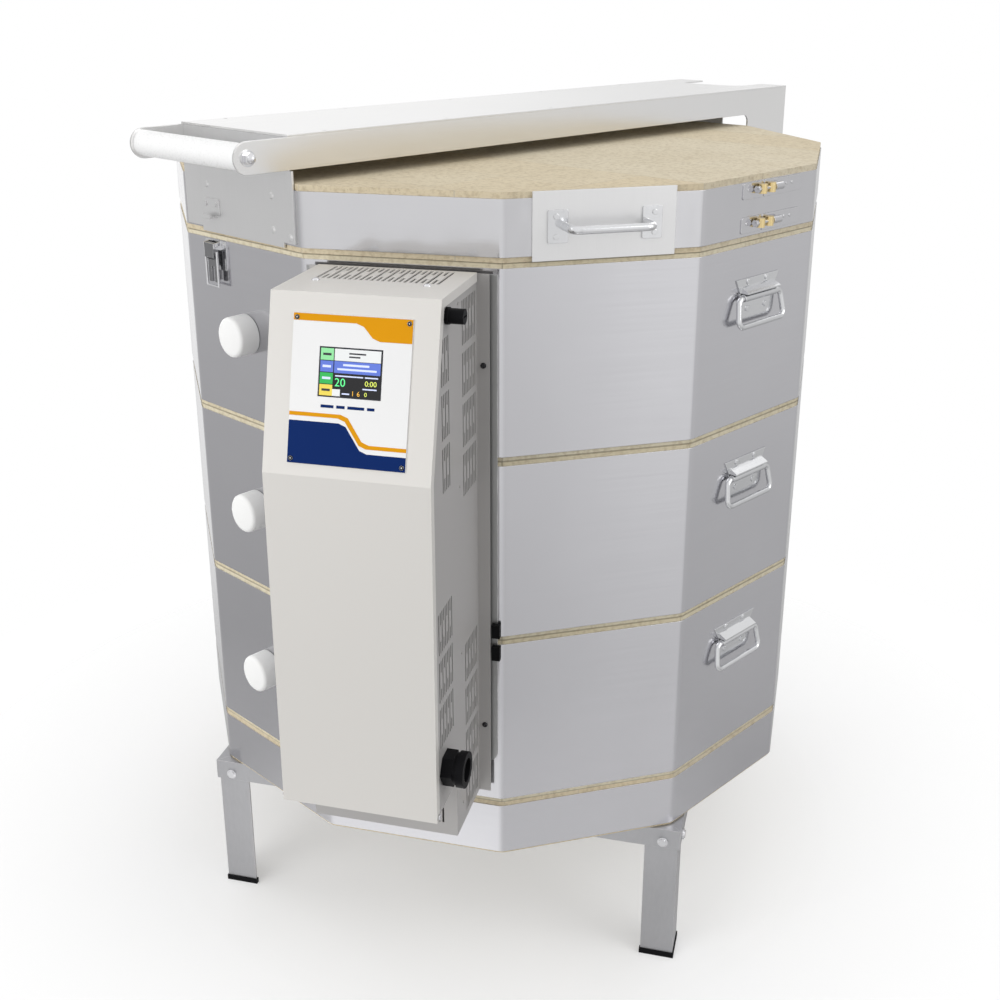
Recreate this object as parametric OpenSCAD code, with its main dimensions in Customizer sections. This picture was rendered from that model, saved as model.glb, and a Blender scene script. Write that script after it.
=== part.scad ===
/* [Body] */
// Width of the twelve-sided body across two flats, over the jackets
body_af = 867; // [820:1:900]
// Width of the firing chamber across two flats
chamber_af = 712; // [680:1:720]
// Height of one ring section
section_h = 228.6; // [220:0.1:240]
// Thickness of the floor slab and of the lid slab
slab_h = 76.2; // [70:0.1:80]
// Thickness of the stainless sheet around the bricks
sheet_t = 1; // [0.8:0.1:1.2]
// Bare brick left above and below each jacket
reveal = 5.5; // [4:0.5:8]
// Radius of the bent corners of the sheets
corner_r = 19; // [10:1:24]

/* [Stand] */
// Height from the floor to the underside of the floor slab
stand_h = 206; // [180:1:260]
// Length of each side of the square stand
stand_side = 664; // [640:1:680]
// Width of each flange of the leg angles
leg_w = 44; // [38:1:50]
// Thickness of the stand's angle steel
angle_t = 3; // [2.5:0.5:4]

/* [Lid arm] */
// Distance between the outer faces of the two cheeks
arm_w = 210; // [200:1:214]
// Clear height of the cheeks above the lid slab
arm_gap = 15.3; // [12:0.1:18]
// Diameter of the lifting handle tube
handle_d = 30; // [26:1:32]
// Thickness of the arm sheet
arm_t = 2.5; // [2:0.5:3]

/* [Control box] */
// Width of the door over its side flanges
door_w = 182.6; // [176:0.1:186]
// Reach of the door's vertical front from the kiln axis
door_reach = 624; // [610:1:630]
// Reach of the door's top edge before it slopes
door_top_reach = 576; // [570:1:590]
// Thickness of the control box sheet
box_t = 1.5; // [1.2:0.1:1.6]

/* [Peepholes] */
// Diameter of the head of a peephole plug
plug_d = 50; // [46:1:54]
// Diameter of the peephole through the bricks
peephole_d = 40; // [36:1:44]

/* [Hidden] */
$fn = 48;

// Heights of the joint planes
floor_top = stand_h + slab_h;
joint_z = floor_top + 3 * section_h;
lid_gap = 0.4;
lid_z = joint_z + lid_gap;

// Plan of the body
jacket_ap = body_af / 2;
brick_ap = jacket_ap - sheet_t - 0.3;
chamber_ap = chamber_af / 2;
half = 15;
mortar = 0.6;

// Element rows, two in each section
row_offset = section_h / 4;
groove_depth = 20;
holder_wall = 3;

// Facets by their outward direction
front = -90;
control = -60;
handle_right = 0;
handle_left = 180;
lid_handle = -30;
rear = 90;

// Outline of the body with bent corners, for a given apothem and corner radius
function body_outline(ap, r) = [
    for (k = [0 : 11])
        for (a = [0 : 6 : 30])
            let (mid = 30 * k + half, c = (ap - r) / cos(half))
                [c * cos(mid) + r * cos(30 * k + a), c * sin(mid) + r * sin(30 * k + a)]
];

// Outline of one mitred facet brick, in its own facet frame
function brick_corner(a, r) = [
    brick_ap - r + r * cos(a),
    (brick_ap - r) * tan(half) + r * sin(a) - (a == half ? mortar / 2 / cos(half) : 0)
];
function brick_half(r) = concat(
    [[chamber_ap, chamber_ap * tan(half) - mortar / 2 / cos(half)]],
    [for (a = [half : -5 : 0]) brick_corner(a, r)]
);
function mirrored(points) = [for (i = [len(points) - 1 : -1 : 0]) [points[i][0], -points[i][1]]];
function brick_outline() = concat(brick_half(corner_r + 0.7), mirrored(brick_half(corner_r + 0.7)));

module facet(direction) rotate([0, 0, direction]) children();

module body_prism(ap, h, r) linear_extrude(h) polygon(body_outline(ap, r));

module body_ring(ap, t, h, r) {
    linear_extrude(h) difference() {
        polygon(body_outline(ap, r));
        polygon(body_outline(ap - t, r - t));
    }
}

// Cylinder along the facet's outward normal, from reach n0 to n1
module rod_out(r, n0, n1, t, z, fn = 32) {
    translate([n0, t, z]) rotate([0, 90, 0]) cylinder(r = r, h = n1 - n0, $fn = fn);
}

// Cylinder along the facet, from t0 to t1
module rod_along(r, t0, t1, n, z, fn = 32) {
    translate([n, t0, z]) rotate([-90, 0, 0]) cylinder(r = r, h = t1 - t0, $fn = fn);
}

// Box given by its lower and upper corners
module block(a, b) translate(a) cube(b - a);

// Plate that stands on the facet: a polygon in (along, up) with a thickness
module plate_out(n0, t, points) {
    translate([n0, 0, 0]) rotate([90, 0, 90]) linear_extrude(t) polygon(points);
}

// Plate across the facet: a polygon in (outward, up), from t0 to t1
module plate_across(t0, t1, points) {
    translate([0, t1, 0]) rotate([90, 0, 0]) linear_extrude(t1 - t0) polygon(points);
}

// Rounded rectangle outline
function round_rect(x0, y0, x1, y1, r) = [
    for (c = [[x1 - r, y1 - r, 0], [x0 + r, y1 - r, 90], [x0 + r, y0 + r, 180], [x1 - r, y0 + r, 270]])
        for (a = [0 : 15 : 90]) [c[0] + r * cos(c[2] + a), c[1] + r * sin(c[2] + a)]
];

// STAND

rail_drop = 28.5;
rail_ledge = 38;
stand_n = stand_side / 2;
leg_n = stand_n - angle_t;
cap_t = 1.5;
cap_h = 7.5;
leg_foot = 5;
bolt_t = 309;
bolt_z = stand_h - 18.5;

module rail(k) facet(control + 90 * k) difference() {
    union() {
        translate([0, 0, stand_h - rail_drop]) linear_extrude(rail_drop)
            polygon([[stand_n, -stand_n], [stand_n, stand_n], [leg_n, leg_n], [leg_n, -leg_n]]);
        let (inner = stand_n - rail_ledge)
            translate([0, 0, stand_h - angle_t]) linear_extrude(angle_t)
                polygon([[stand_n, -stand_n], [stand_n, stand_n], [inner, inner], [inner, -inner]]);
    }
    for (s = [-1, 1]) rod_out(4.1, leg_n - 1, stand_n + 1, s * bolt_t, bolt_z);
}
module long_rails() color("silver") for (k = [0, 2]) rail(k);
module cross_rails() color("silver") for (k = [1, 3]) rail(k);

function angle_outline(w, t, edge, grow) = let (o = edge + grow, i = edge - t - grow, e = edge - w - grow)
    [[o, o], [e, o], [e, i], [i, i], [i, e], [o, e]];

module legs() color("silver") for (k = [0 : 3]) facet(control + 90 * k) difference() {
    translate([0, 0, leg_foot]) linear_extrude(stand_h - angle_t - leg_foot)
        polygon(angle_outline(leg_w, angle_t, leg_n, 0));
    rod_out(4.1, leg_n - 5, stand_n, bolt_t, bolt_z);
    rod_along(4.1, leg_n - 5, stand_n, bolt_t, bolt_z);
}

module foot_caps() color("black") for (k = [0 : 3]) facet(control + 90 * k) difference() {
    linear_extrude(cap_h) polygon(angle_outline(leg_w, angle_t, leg_n, cap_t));
    translate([0, 0, leg_foot]) linear_extrude(cap_h)
        polygon(angle_outline(leg_w, angle_t, leg_n, 0.1));
}

module stand_bolt(t) {
    rod_out(7, stand_n, stand_n + 2.5, t, bolt_z);
    rod_out(5, stand_n + 2.5, stand_n + 4, t, bolt_z);
    rod_out(4, leg_n - 12, stand_n, t, bolt_z);
    rod_out(7.5, leg_n - 9.5, leg_n - angle_t, t, bolt_z, 6);
}
module stand_bolts() color("gainsboro")
    for (k = [0 : 3]) facet(control + 90 * k) for (s = [-1, 1]) stand_bolt(s * bolt_t);

// FLOOR SLAB AND BRICK SECTIONS

module floor_slab() color("wheat") translate([0, 0, stand_h]) body_prism(brick_ap, slab_h, corner_r + 0.7);

module floor_band() color("lightgray")
    translate([0, 0, stand_h + 2.5]) body_ring(jacket_ap, sheet_t, slab_h - 2.5 - reveal, corner_r);

function section_base(i) = floor_top + i * section_h;
function section_mid(i) = section_base(i) + section_h / 2;
function row_z(i, j) = section_base(i) + row_offset * (2 * j + 1);

// Dovetail groove that holds the element channels, in (outward, up)
function groove(grow) = [
    [chamber_ap - 1, -9 + grow], [chamber_ap + groove_depth - grow, -12 + grow],
    [chamber_ap + groove_depth - grow, 12 - grow], [chamber_ap - 1, 9 - grow]
];

module brick(z, h, direction) difference() {
    facet(direction) translate([0, 0, z]) linear_extrude(h) polygon(brick_outline());
    facet(direction) translate([0, 0, z + h / 2]) plate_across(-130, 130, groove(0));
}

// One ring: two courses of twelve mitred bricks
module brick_ring(i) color("wheat") {
    course = section_h / 2;
    for (j = [0, 1]) for (k = [0 : 11]) difference() {
        brick(section_base(i) + course * j, course - 0.3 * (1 - j), 30 * k);
        if (30 * k == front + 360)
            facet(front) rod_out(peephole_d / 2, chamber_ap - 5, jacket_ap + 5, 0, section_mid(i), 48);
        if (30 * k == control + 360) facet(control) {
            rod_out(6.5, chamber_ap - 5, jacket_ap + 5, 0, section_mid(i));
            for (s = [-1, 1]) rod_out(4, chamber_ap - 5, jacket_ap + 5, 12 * s, row_z(i, j));
        }
    }
}
module lower_bricks() brick_ring(0);
module middle_bricks() brick_ring(1);
module upper_bricks() brick_ring(2);

jacket_h = section_h - 2 * reveal;
module jacket(i) color("gainsboro") difference() {
    translate([0, 0, section_base(i) + reveal]) body_ring(jacket_ap, sheet_t, jacket_h, corner_r);
    facet(front) rod_out(peephole_d / 2 + 1, jacket_ap - 5, jacket_ap + 5, 0, section_mid(i), 48);
    facet(control) for (j = [0, 1])
        block([jacket_ap - 5, -20, row_z(i, j) - 8], [jacket_ap + 5, 20, row_z(i, j) + 8]);
    facet(control) rod_out(7, jacket_ap - 5, jacket_ap + 5, 0, section_mid(i));
}
module lower_jacket() jacket(0);
module middle_jacket() jacket(1);
module upper_jacket() jacket(2);

// HEATING PARTS

holder_half = 92;
element_r = 5;
element_n = chamber_ap + 10;

// Ceramic channel with an open mouth towards the chamber; a fed one lets the tails out at its back
module holder(z, fed) translate([0, 0, z]) difference() {
    plate_across(-holder_half, holder_half, groove(0.5));
    rod_along(7, -holder_half - 1, holder_half + 1, element_n, 0);
    block([chamber_ap - 5, -holder_half - 1, -5], [element_n, holder_half + 1, 5]);
    if (fed) for (s = [-1, 1]) rod_out(2, element_n, element_n + 15, 12 * s, 0, 24);
}
module element_holders() color("ivory")
    for (i = [0 : 2]) for (j = [0, 1]) for (k = [0 : 11]) facet(30 * k)
        holder(row_z(i, j), 30 * k == control + 360);

// Twelve-sided wound element, drawn as the tube that its coil fills
module heating_elements() color("dimgray") for (i = [0 : 2]) for (j = [0, 1])
    translate([0, 0, row_z(i, j)]) rotate([0, 0, half]) rotate_extrude($fn = 12)
        translate([element_n / cos(half), 0]) circle(r = element_r, $fn = 8);

block_n = jacket_ap + 14;
module element_tails() color("dimgray") facet(control) for (i = [0 : 2]) for (j = [0, 1]) for (s = [-1, 1]) {
    rod_out(1.6, element_n + element_r, block_n + 8, 12 * s, row_z(i, j), 24);
    rod_out(4, block_n, block_n + 7, 12 * s, row_z(i, j), 24);
}
module terminal_blocks() color("white") facet(control) for (i = [0 : 2]) for (j = [0, 1]) difference() {
    block([jacket_ap, -26, row_z(i, j) - 10], [block_n, 26, row_z(i, j) + 10]);
    for (s = [-1, 1]) rod_out(1.9, jacket_ap - 1, block_n + 1, 12 * s, row_z(i, j), 24);
}
module thermocouples() color("ivory") facet(control) for (i = [0 : 2]) {
    rod_out(6, chamber_ap - 28, jacket_ap + 2, 0, section_mid(i));
    block([jacket_ap + 2, -17, section_mid(i) - 11], [jacket_ap + 18, 17, section_mid(i) + 11]);
    for (s = [-1, 1]) rod_out(2.5, jacket_ap + 18, jacket_ap + 22, 10 * s, section_mid(i), 24);
}

// Band clamp: two strap ends and the long screw that draws them together
screw_n = jacket_ap + 5.8;
module clamp(z) {
    plate_out(jacket_ap, 1.2, round_rect(-41, z - 11, -1, z + 8, 3));
    plate_out(jacket_ap, 1.2, round_rect(1, z - 11, 80, z + 8, 3));
    rod_along(2.5, -17, 14.5, screw_n, z, 24);
    rod_along(4.4, -21, -17, screw_n, z, 6);
    rod_along(4.5, 14.5, 31, screw_n, z, 24);
    for (t = [-31, 48, 60]) rod_out(1.8, jacket_ap + 1.2, jacket_ap + 1.9, t, z, 24);
}

// Pair of upright brass barrels, flat against the straps, that the screw passes through
module clamp_barrels(z) for (s = [-1, 1]) difference() {
    translate([screw_n, 9 * s, z - 5.5]) cylinder(r = 5.2, h = 11, $fn = 32);
    block([jacket_ap - 5, 9 * s - 8, z - 8], [jacket_ap + 1.2, 9 * s + 8, z + 8]);
    rod_along(2.5, -20, 20, screw_n, z, 24);
}
module section_clamps() color("silver") facet(150)
    for (i = [0 : 2]) for (s = [-1, 1]) clamp(section_mid(i) + 60 * s);
module section_clamp_barrels() color("goldenrod") facet(150)
    for (i = [0 : 2]) for (s = [-1, 1]) clamp_barrels(section_mid(i) + 60 * s);

// SECTION HANDLES

bail_r = 3.5;
bail_n = jacket_ap + 5.6;
bail_drop = 33.5;
bail_half = 47.5;
bail_top = 42.5;
bail_lean = atan((bail_half - bail_top) / bail_drop);
bead_half = 34.5;
bail_tilt = 9;
plate_top = -44;
bail_below = 66;
bead_r = 4.6;
hood_half = 34;

function bail_z(i) = section_base(i + 1) - bail_below;

// Pressed plate with a hood over the rolled bead that carries the bail
module handle_plate(i) {
    z = section_base(i + 1);
    difference() {
        union() {
            plate_out(jacket_ap, 1.5, [
                for (p = [
                    [-44, 0], [-35, -17], [-34, -44], [-27, -50],
                    [27, -50], [34, -44], [35, -17], [44, 0]
                ]) [p[0], z + plate_top + p[1]]
            ]);
            plate_across(-hood_half, hood_half, [
                [jacket_ap + 1, z - 53], [jacket_ap + 2, z - 53], [jacket_ap + 12.5, z - 58.5],
                [jacket_ap + 12.5, z - 60.5], [jacket_ap + 1, z - 60.5]
            ]);
            rod_along(bead_r, -bead_half, bead_half, bail_n, bail_z(i));
        }
        plate_across(-hood_half + 1.5, hood_half - 1.5, [
            [jacket_ap + 1.5, z - 55.2], [jacket_ap + 11.3, z - 60.2],
            [jacket_ap + 11.3, z - 61], [jacket_ap + 1.5, z - 61]
        ]);
        rod_along(bail_r + 0.08, -bead_half - 1.5, bead_half + 1.5, bail_n, bail_z(i));
    }
    for (t = [-19, 19]) for (dz = [-48.6, -81]) rod_out(3.6, jacket_ap + 1.5, jacket_ap + 3, t, z + dz, 24);
}
module handle_plates() color("gainsboro")
    for (d = [handle_right, handle_left]) facet(d) for (i = [0 : 2]) handle_plate(i);

// Corner of a bent rod: part of a ring in the plane across the facet
module rod_corner(r, bend, start, sweep) rotate([0, 90, 0]) rotate([0, 0, start])
    rotate_extrude(angle = sweep, $fn = 32) translate([bend, 0]) circle(r = r, $fn = 24);

// Closed bail, narrower at its top rod than at the grip
module bail(i, direction) color("gainsboro") facet(direction) {
    bend = 8;
    top_t = bail_top - bend * tan((90 - bail_lean) / 2);
    grip_t = bail_half - bend * tan((90 + bail_lean) / 2);
    side = bend * cos(bail_lean);
    leg = (bail_drop - 2 * bend) / cos(bail_lean);
    over = 0.3;
    bent_r = bail_r + 0.03;
    translate([bail_n, 0, bail_z(i)]) rotate([0, -bail_tilt, 0]) {
        rod_along(bail_r, -top_t - over, top_t + over, 0, 0, 24);
        rod_along(bail_r, -grip_t - over, grip_t + over, 0, -bail_drop, 24);
        for (s = [-1, 1]) {
            translate([0, s * (grip_t + side), -bail_drop + bend + bend * sin(bail_lean)])
                rotate([s * bail_lean, 0, 0]) translate([0, 0, -over])
                    cylinder(r = bail_r, h = leg + 2 * over, $fn = 24);
            translate([0, s * grip_t, -bail_drop + bend])
                rod_corner(bent_r, bend, s > 0 ? 0 : -90 - bail_lean, 90 + bail_lean);
            translate([0, s * top_t, -bend])
                rod_corner(bent_r, bend, s > 0 ? 90 + bail_lean : 180, 90 - bail_lean);
        }
    }
}
module bail_right_lower() bail(0, handle_right);
module bail_right_middle() bail(1, handle_right);
module bail_right_upper() bail(2, handle_right);
module bail_left_lower() bail(0, handle_left);
module bail_left_middle() bail(1, handle_left);
module bail_left_upper() bail(2, handle_left);

// PEEPHOLE PLUGS

module plug(i) color("white") facet(front) {
    z = section_mid(i);
    rod_out(plug_d / 2, jacket_ap + 0.4, jacket_ap + 25.4, 0, z, 64);
    translate([jacket_ap + 25.4, 0, z]) rotate([0, 90, 0])
        cylinder(r1 = plug_d / 2, r2 = plug_d / 2 - 2, h = 2, $fn = 64);
    rod_out(peephole_d / 2 - 1, jacket_ap - 68, jacket_ap + 0.4, 0, z, 64);
}
module plug_lower() plug(0);
module plug_middle() plug(1);
module plug_upper() plug(2);

// LID LATCH

latch_t = -54;
latch_pivot_n = jacket_ap + 7.5;
latch_pivot_z = joint_z - 12;
loop_n = latch_pivot_n + 1;
loop_z = joint_z - 20;
loop_len = 42;
loop_r = 1.5;
loop_half = 12;

module latch_base() color("silver") facet(front) translate([0, latch_t, 0]) {
    difference() {
        union() {
            plate_out(jacket_ap, 1.5, round_rect(-22, joint_z - 42, 22, joint_z - 6.5, 3));
            for (s = [-1, 1]) translate([0, s * 10.35, 0])
                plate_across(-0.75, 0.75, [
                    [jacket_ap + 1, joint_z - 18], [latch_pivot_n + 4, joint_z - 15],
                    [latch_pivot_n + 4, joint_z - 9], [jacket_ap + 1, joint_z - 7]
                ]);
        }
        rod_along(1.5, -20, 20, latch_pivot_n, latch_pivot_z, 24);
    }
    rod_along(1.5, -12, 12, latch_pivot_n, latch_pivot_z, 24);
    for (p = [[18, -11], [-18, -37]]) rod_out(3, jacket_ap + 1.5, jacket_ap + 3.2, p[0], joint_z + p[1], 24);
}

module latch_lever() color("gray") facet(front) translate([0, latch_t, 0]) difference() {
    union() {
        plate_across(-9, 9, [
            [latch_pivot_n - 3, latch_pivot_z + 3], [latch_pivot_n + 3.5, latch_pivot_z + 3],
            [loop_n + 3.5, loop_z - 6], [latch_pivot_n, loop_z - 10],
            [latch_pivot_n, joint_z - 57], [latch_pivot_n - 3, joint_z - 57]
        ]);
    }
    rod_along(1.56, -20, 20, latch_pivot_n, latch_pivot_z, 24);
    rod_along(loop_r + 0.06, -20, 20, loop_n, loop_z, 24);
    block([latch_pivot_n - 4, -3, joint_z - 58], [latch_pivot_n + 1, 3, joint_z - 38]);
}

module latch_loop() color("silver") facet(front) translate([loop_n, latch_t, loop_z]) {
    for (s = [-1, 1]) {
        rod_along(loop_r, s > 0 ? 6 : -loop_half, s > 0 ? loop_half : -6, 0, 0, 24);
        translate([0, s * loop_half, -loop_len]) cylinder(r = loop_r, h = loop_len, $fn = 24);
        for (z = [0, -loop_len]) translate([0, s * loop_half, z]) sphere(r = loop_r, $fn = 24);
    }
    rod_along(loop_r, -loop_half, loop_half, 0, -loop_len, 24);
}

lid_plate_n = jacket_ap + 0.5;
lid_plate_t = 2;
module latch_catch() color("silver") facet(front) translate([0, latch_t, 0]) {
    n0 = lid_plate_n + lid_plate_t;
    plate_out(n0, 1.5, round_rect(-17, joint_z + 24, 17, joint_z + 44, 3));
    plate_across(-9, 9, [
        [n0, joint_z + 21], [n0 + 10, joint_z + 21], [n0 + 10, joint_z + 26],
        [n0 + 8.5, joint_z + 26], [n0 + 8.5, joint_z + 22.5], [n0 + 1.5, joint_z + 22.5],
        [n0 + 1.5, joint_z + 26], [n0, joint_z + 26]
    ]);
    for (t = [-10, 10]) rod_out(2.5, n0 + 1.5, n0 + 3, t, joint_z + 37, 24);
}

// LID

module lid_slab() color("wheat") translate([0, 0, lid_z]) body_prism(brick_ap, slab_h, corner_r + 0.7);

module lid_band() color("lightgray")
    translate([0, 0, lid_z + 6]) body_ring(jacket_ap, sheet_t, slab_h - 13, corner_r);

arm_z0 = joint_z + slab_h + arm_gap;
arm_end_r = 18;
arm_top = arm_z0 + 2 * arm_end_r;
arm_out = arm_w / 2;
arm_in = arm_out - arm_t;
handle_y = 490.5;
handle_z = arm_z0 + arm_end_r;
pivot_y = 500;
pivot_z = joint_z - 5;
arm_rear = 551;

module rivets_out(n, points, r = 3.4) for (p = points)
    translate([n, p[0], p[1]]) rotate([0, 90, 0]) cylinder(r1 = r, r2 = 0.6 * r, h = 1.7, $fn = 24);

module lid_front_plate() color("gainsboro") facet(front) {
    w = arm_in;
    plate_out(lid_plate_n - 0.5, lid_plate_t + 0.5, [
        [-76, joint_z + 3], [87, joint_z + 3], [87, joint_z + 9], [108, joint_z + 9],
        [108, arm_z0 - 1], [w, arm_z0 - 1], [w, arm_top], [-w, arm_top],
        [-w, arm_z0 - 1], [-108, arm_z0 - 1], [-108, joint_z + 9], [-76, joint_z + 9]
    ]);
    rivets_out(lid_plate_n + lid_plate_t, [
        for (p = [[-62, 60], [68, 60], [68, 21], [100, 16]]) [p[0], joint_z + p[1]]
    ], 4.2);
}

// Folded plate behind the lid, whose two wings lie against the cheeks; only its middle stands above the lid
module lid_rear_plate() color("gainsboro") facet(rear) {
    w = arm_in;
    top = joint_z + 72;
    plate_out(jacket_ap, 2, [
        [-w, joint_z + 9], [w, joint_z + 9], [w, top], [68, top],
        [68, arm_top - 3], [-68, arm_top - 3], [-68, top], [-w, top]
    ]);
    for (s = [-1, 1]) translate([0, s * (w - 1.25), 0]) plate_across(-1.25, 1.25, [
        [jacket_ap, joint_z + 9], [jacket_ap + 12, joint_z + 9], [535, joint_z + 40],
        [535, top], [jacket_ap, top]
    ]);
    rivets_out(jacket_ap + 2, [for (t = [-70, 0, 70]) for (z = [24, 58]) [t, joint_z + z]]);
}

module lid_side_plate() color("gainsboro") facet(lid_handle)
    block([jacket_ap, -83, joint_z + 0.6], [jacket_ap + 2, 83, lid_z + slab_h]);

// Bent rod with a flat foot at each end
module lid_side_handle() color("silver") facet(lid_handle) {
    foot_n = jacket_ap + 2;
    z = joint_z + 38;
    bend = 10;
    out = foot_n + 30;
    hr = 4.5;
    for (s = [-1, 1]) {
        plate_out(foot_n, 2.2, round_rect(s > 0 ? 43 : -66, z - 18, s > 0 ? 66 : -43, z + 18, 2));
        rod_out(hr, foot_n + 2.2, out - bend, s * 47, z);
        for (dz = [-11, 11]) rod_out(3, foot_n + 2.2, foot_n + 3.8, s * 57, z + dz, 24);
        translate([out - bend, s * (47 - bend), z]) rotate([0, 0, s > 0 ? 0 : -90])
            rotate_extrude(angle = 90, $fn = 32) translate([bend, 0]) circle(r = hr, $fn = 24);
    }
    rod_along(hr, -47 + bend, 47 - bend, out, z);
}

module lid_clamps() color("silver") facet(handle_right) for (z = [60.5, 21]) clamp(joint_z + z);
module lid_clamp_barrels() color("goldenrod") facet(handle_right)
    for (z = [60.5, 21]) clamp_barrels(joint_z + z);

// LIFTING ARM

pivot_r = 22;
rod_r = 8;
function arc(cx, cy, r, a0, a1, n = 10) = [
    for (i = [0 : n]) let (a = a0 + (a1 - a0) * i / n) [cx + r * cos(a), cy + r * sin(a)]
];
function cheek_outline() = concat(
    arc(-handle_y, handle_z, arm_end_r, 90, 270, 16),
    arc(449 - 11, arm_z0 - 11, 11, 90, 0, 6),
    [[449, pivot_z + 45]],
    arc(pivot_y, pivot_z, pivot_r, 180, 360, 12),
    [[arm_rear, pivot_z + 35], [arm_rear, arm_top]]
);

// Cylinder along the row's x direction
module across(r, x0, x1, y, z, fn = 48)
    translate([x0, y, z]) rotate([0, 90, 0]) cylinder(r = r, h = x1 - x0, $fn = fn);

module cheek(s) {
    inner = s > 0 ? arm_in : -arm_out;
    difference() {
        translate([inner, 0, 0]) rotate([90, 0, 90]) linear_extrude(arm_t) polygon(cheek_outline());
        across(rod_r + 0.06, inner - 1, inner + arm_t + 1, pivot_y, pivot_z);
        across(4.1, inner - 1, inner + arm_t + 1, -handle_y, handle_z, 32);
    }
    lip = s > 0 ? arm_in - 12 : -arm_in;
    block([lip, -430, arm_top - arm_t], [lip + 12, 430, arm_top]);
}
module arm_cheeks() color("gainsboro") for (s = [-1, 1]) cheek(s);

// Top sheet of the arm, with a round-cornered notch at the back
module arm_cover() color("gainsboro") difference() {
    block([-arm_out, -437, arm_top], [arm_out, arm_rear, arm_top + arm_t]);
    translate([0, 0, arm_top - 1]) linear_extrude(arm_t + 2)
        polygon(concat(
            [[58, arm_rear + 5], [-58, arm_rear + 5]],
            arc(-33, 510, 25, 180, 270, 6), arc(33, 510, 25, 270, 360, 6)
        ));
    for (x = [-97, 97]) for (y = [-380 : 190 : 380])
        translate([x, y, arm_top - 1]) cylinder(r = 2.5, h = arm_t + 2, $fn = 24);
}

// The same on either side of the middle, between two distances from it
module at_end(r, s, x0, x1, y, z, fn = 48) across(r, s > 0 ? x0 : -x1, s > 0 ? x1 : -x0, y, z, fn);

module lift_handle() color("white") difference() {
    across(handle_d / 2, -arm_in + 0.2, arm_in - 0.2, -handle_y, handle_z, 64);
    across(4.1, -arm_out, arm_out, -handle_y, handle_z, 32);
}
module handle_rod() color("silver") {
    across(4, -arm_out - 1.6, arm_out + 1.6, -handle_y, handle_z, 32);
    for (s = [-1, 1]) {
        at_end(9, s, arm_out, arm_out + 1.6, -handle_y, handle_z);
        at_end(7, s, arm_out + 1.6, arm_out + 6, -handle_y, handle_z, 6);
        translate([s * (arm_out + 6), -handle_y, handle_z]) sphere(r = 5.4, $fn = 32);
    }
}

// HINGE

ear_in = 95;
ear_out = 98;
stop_y = pivot_y + 60;
stop_z = pivot_z - 53;
stop_r = 6;

// Hinge plate with two ears; a bar below the rod stops the arm when the lid is open
module hinge_base() color("silver") facet(rear) {
    difference() {
        union() {
            plate_out(jacket_ap, 3, round_rect(-ear_out, joint_z - 205, ear_out, joint_z - 10, 4));
            for (s = [-1, 1]) translate([0, s > 0 ? ear_in : -ear_out, 0])
                plate_across(0, ear_out - ear_in, concat(
                    [[jacket_ap + 1, joint_z - 190]],
                    arc(stop_y, stop_z, 11, -50, 30, 6),
                    arc(pivot_y, pivot_z, 16, 30, 120, 8),
                    [[jacket_ap + 1, joint_z - 12]]
                ));
            rod_along(stop_r, -arm_out - 6, arm_out + 6, stop_y, stop_z, 32);
        }
        rod_along(rod_r, -ear_out - 1, ear_out + 1, pivot_y, pivot_z, 48);
    }
    for (t = [-70, 0, 70]) for (z = [-40, -180])
        rod_out(5.5, jacket_ap + 3, jacket_ap + 7, t, joint_z + z, 6);
}

module hinge_rod() color("gray") {
    across(rod_r, -arm_out - 9, arm_out + 9, pivot_y, pivot_z);
    for (s = [-1, 1]) at_end(14, s, arm_out + 0.4, arm_out + 8.4, pivot_y, pivot_z);
}

spring_r = 20;
spring_wire = 5;
module lid_springs() color("dimgray") for (s = [-1, 1]) difference() {
    at_end(spring_r, s, 8, 90, pivot_y, pivot_z);
    across(spring_r - spring_wire, -95, 95, pivot_y, pivot_z);
}

// CONTROL BOX, in the frame of its facet

slope_top = joint_z - 8;
slope_fold = joint_z - 190;
door_foot = joint_z - 588;
door_back = jacket_ap + 12.5;
slope_a = atan((door_reach - door_top_reach) / (slope_top - slope_fold));
door_half = door_w / 2;
chassis_half = door_half - box_t - 0.3;
chassis_n = jacket_ap + 7.5;
chassis_foot = joint_z - 664;
chassis_step = 540;
hinge_n = door_reach - 6;
hinge_z = door_foot + 5;

// Outline points of the door sheet, set in from its outer face by d
function door_top_edge(d) = [door_top_reach - d * (1 - sin(slope_a)) / cos(slope_a), slope_top - d];
function door_fold(d) = [
    door_reach - d,
    slope_top - (d + cos(slope_a) * (door_reach - d - door_top_reach)) / sin(slope_a)
];

module on_slope() translate([door_top_reach, 0, slope_top]) rotate([0, -slope_a, 0]) children();

// Window over each section's terminals
module terminal_windows(n0, n1)
    for (i = [0 : 2]) block([n0, -45, section_mid(i) - 85], [n1, 45, section_mid(i) + 85]);

module heat_shield() color("dimgray") facet(control) difference() {
    plate_out(jacket_ap, 1, [
        [-111, joint_z - 12], [111, joint_z - 12], [111, joint_z - 616],
        [106, joint_z - 624], [-106, joint_z - 624], [-111, joint_z - 616]
    ]);
    terminal_windows(jacket_ap - 1, jacket_ap + 2);
}

// Long upright slot with a pair of short ones beside it, repeated along the side
module slot_group(n, count, z, long = 49, short = 15) for (i = [0 : count - 1]) {
    translate([n + 12 * i, 0, z]) cube([3, 400, long], center = true);
    if (i < count - 1) for (s = [-1, 1])
        translate([n + 12 * i + 6, 0, z + s * (long - short) / 2]) cube([3, 400, short], center = true);
}

function side_outline() = concat(
    [[chassis_n, chassis_foot], [chassis_n, slope_top - 2], [door_top_edge(1.9)[0], slope_top - 2]],
    [door_fold(1.9)],
    [[hinge_n + 4, hinge_z]],
    arc(hinge_n, hinge_z, 4, -15, -90, 5),
    [[chassis_step, hinge_z - 4], [chassis_step, chassis_foot]]
);

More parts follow.
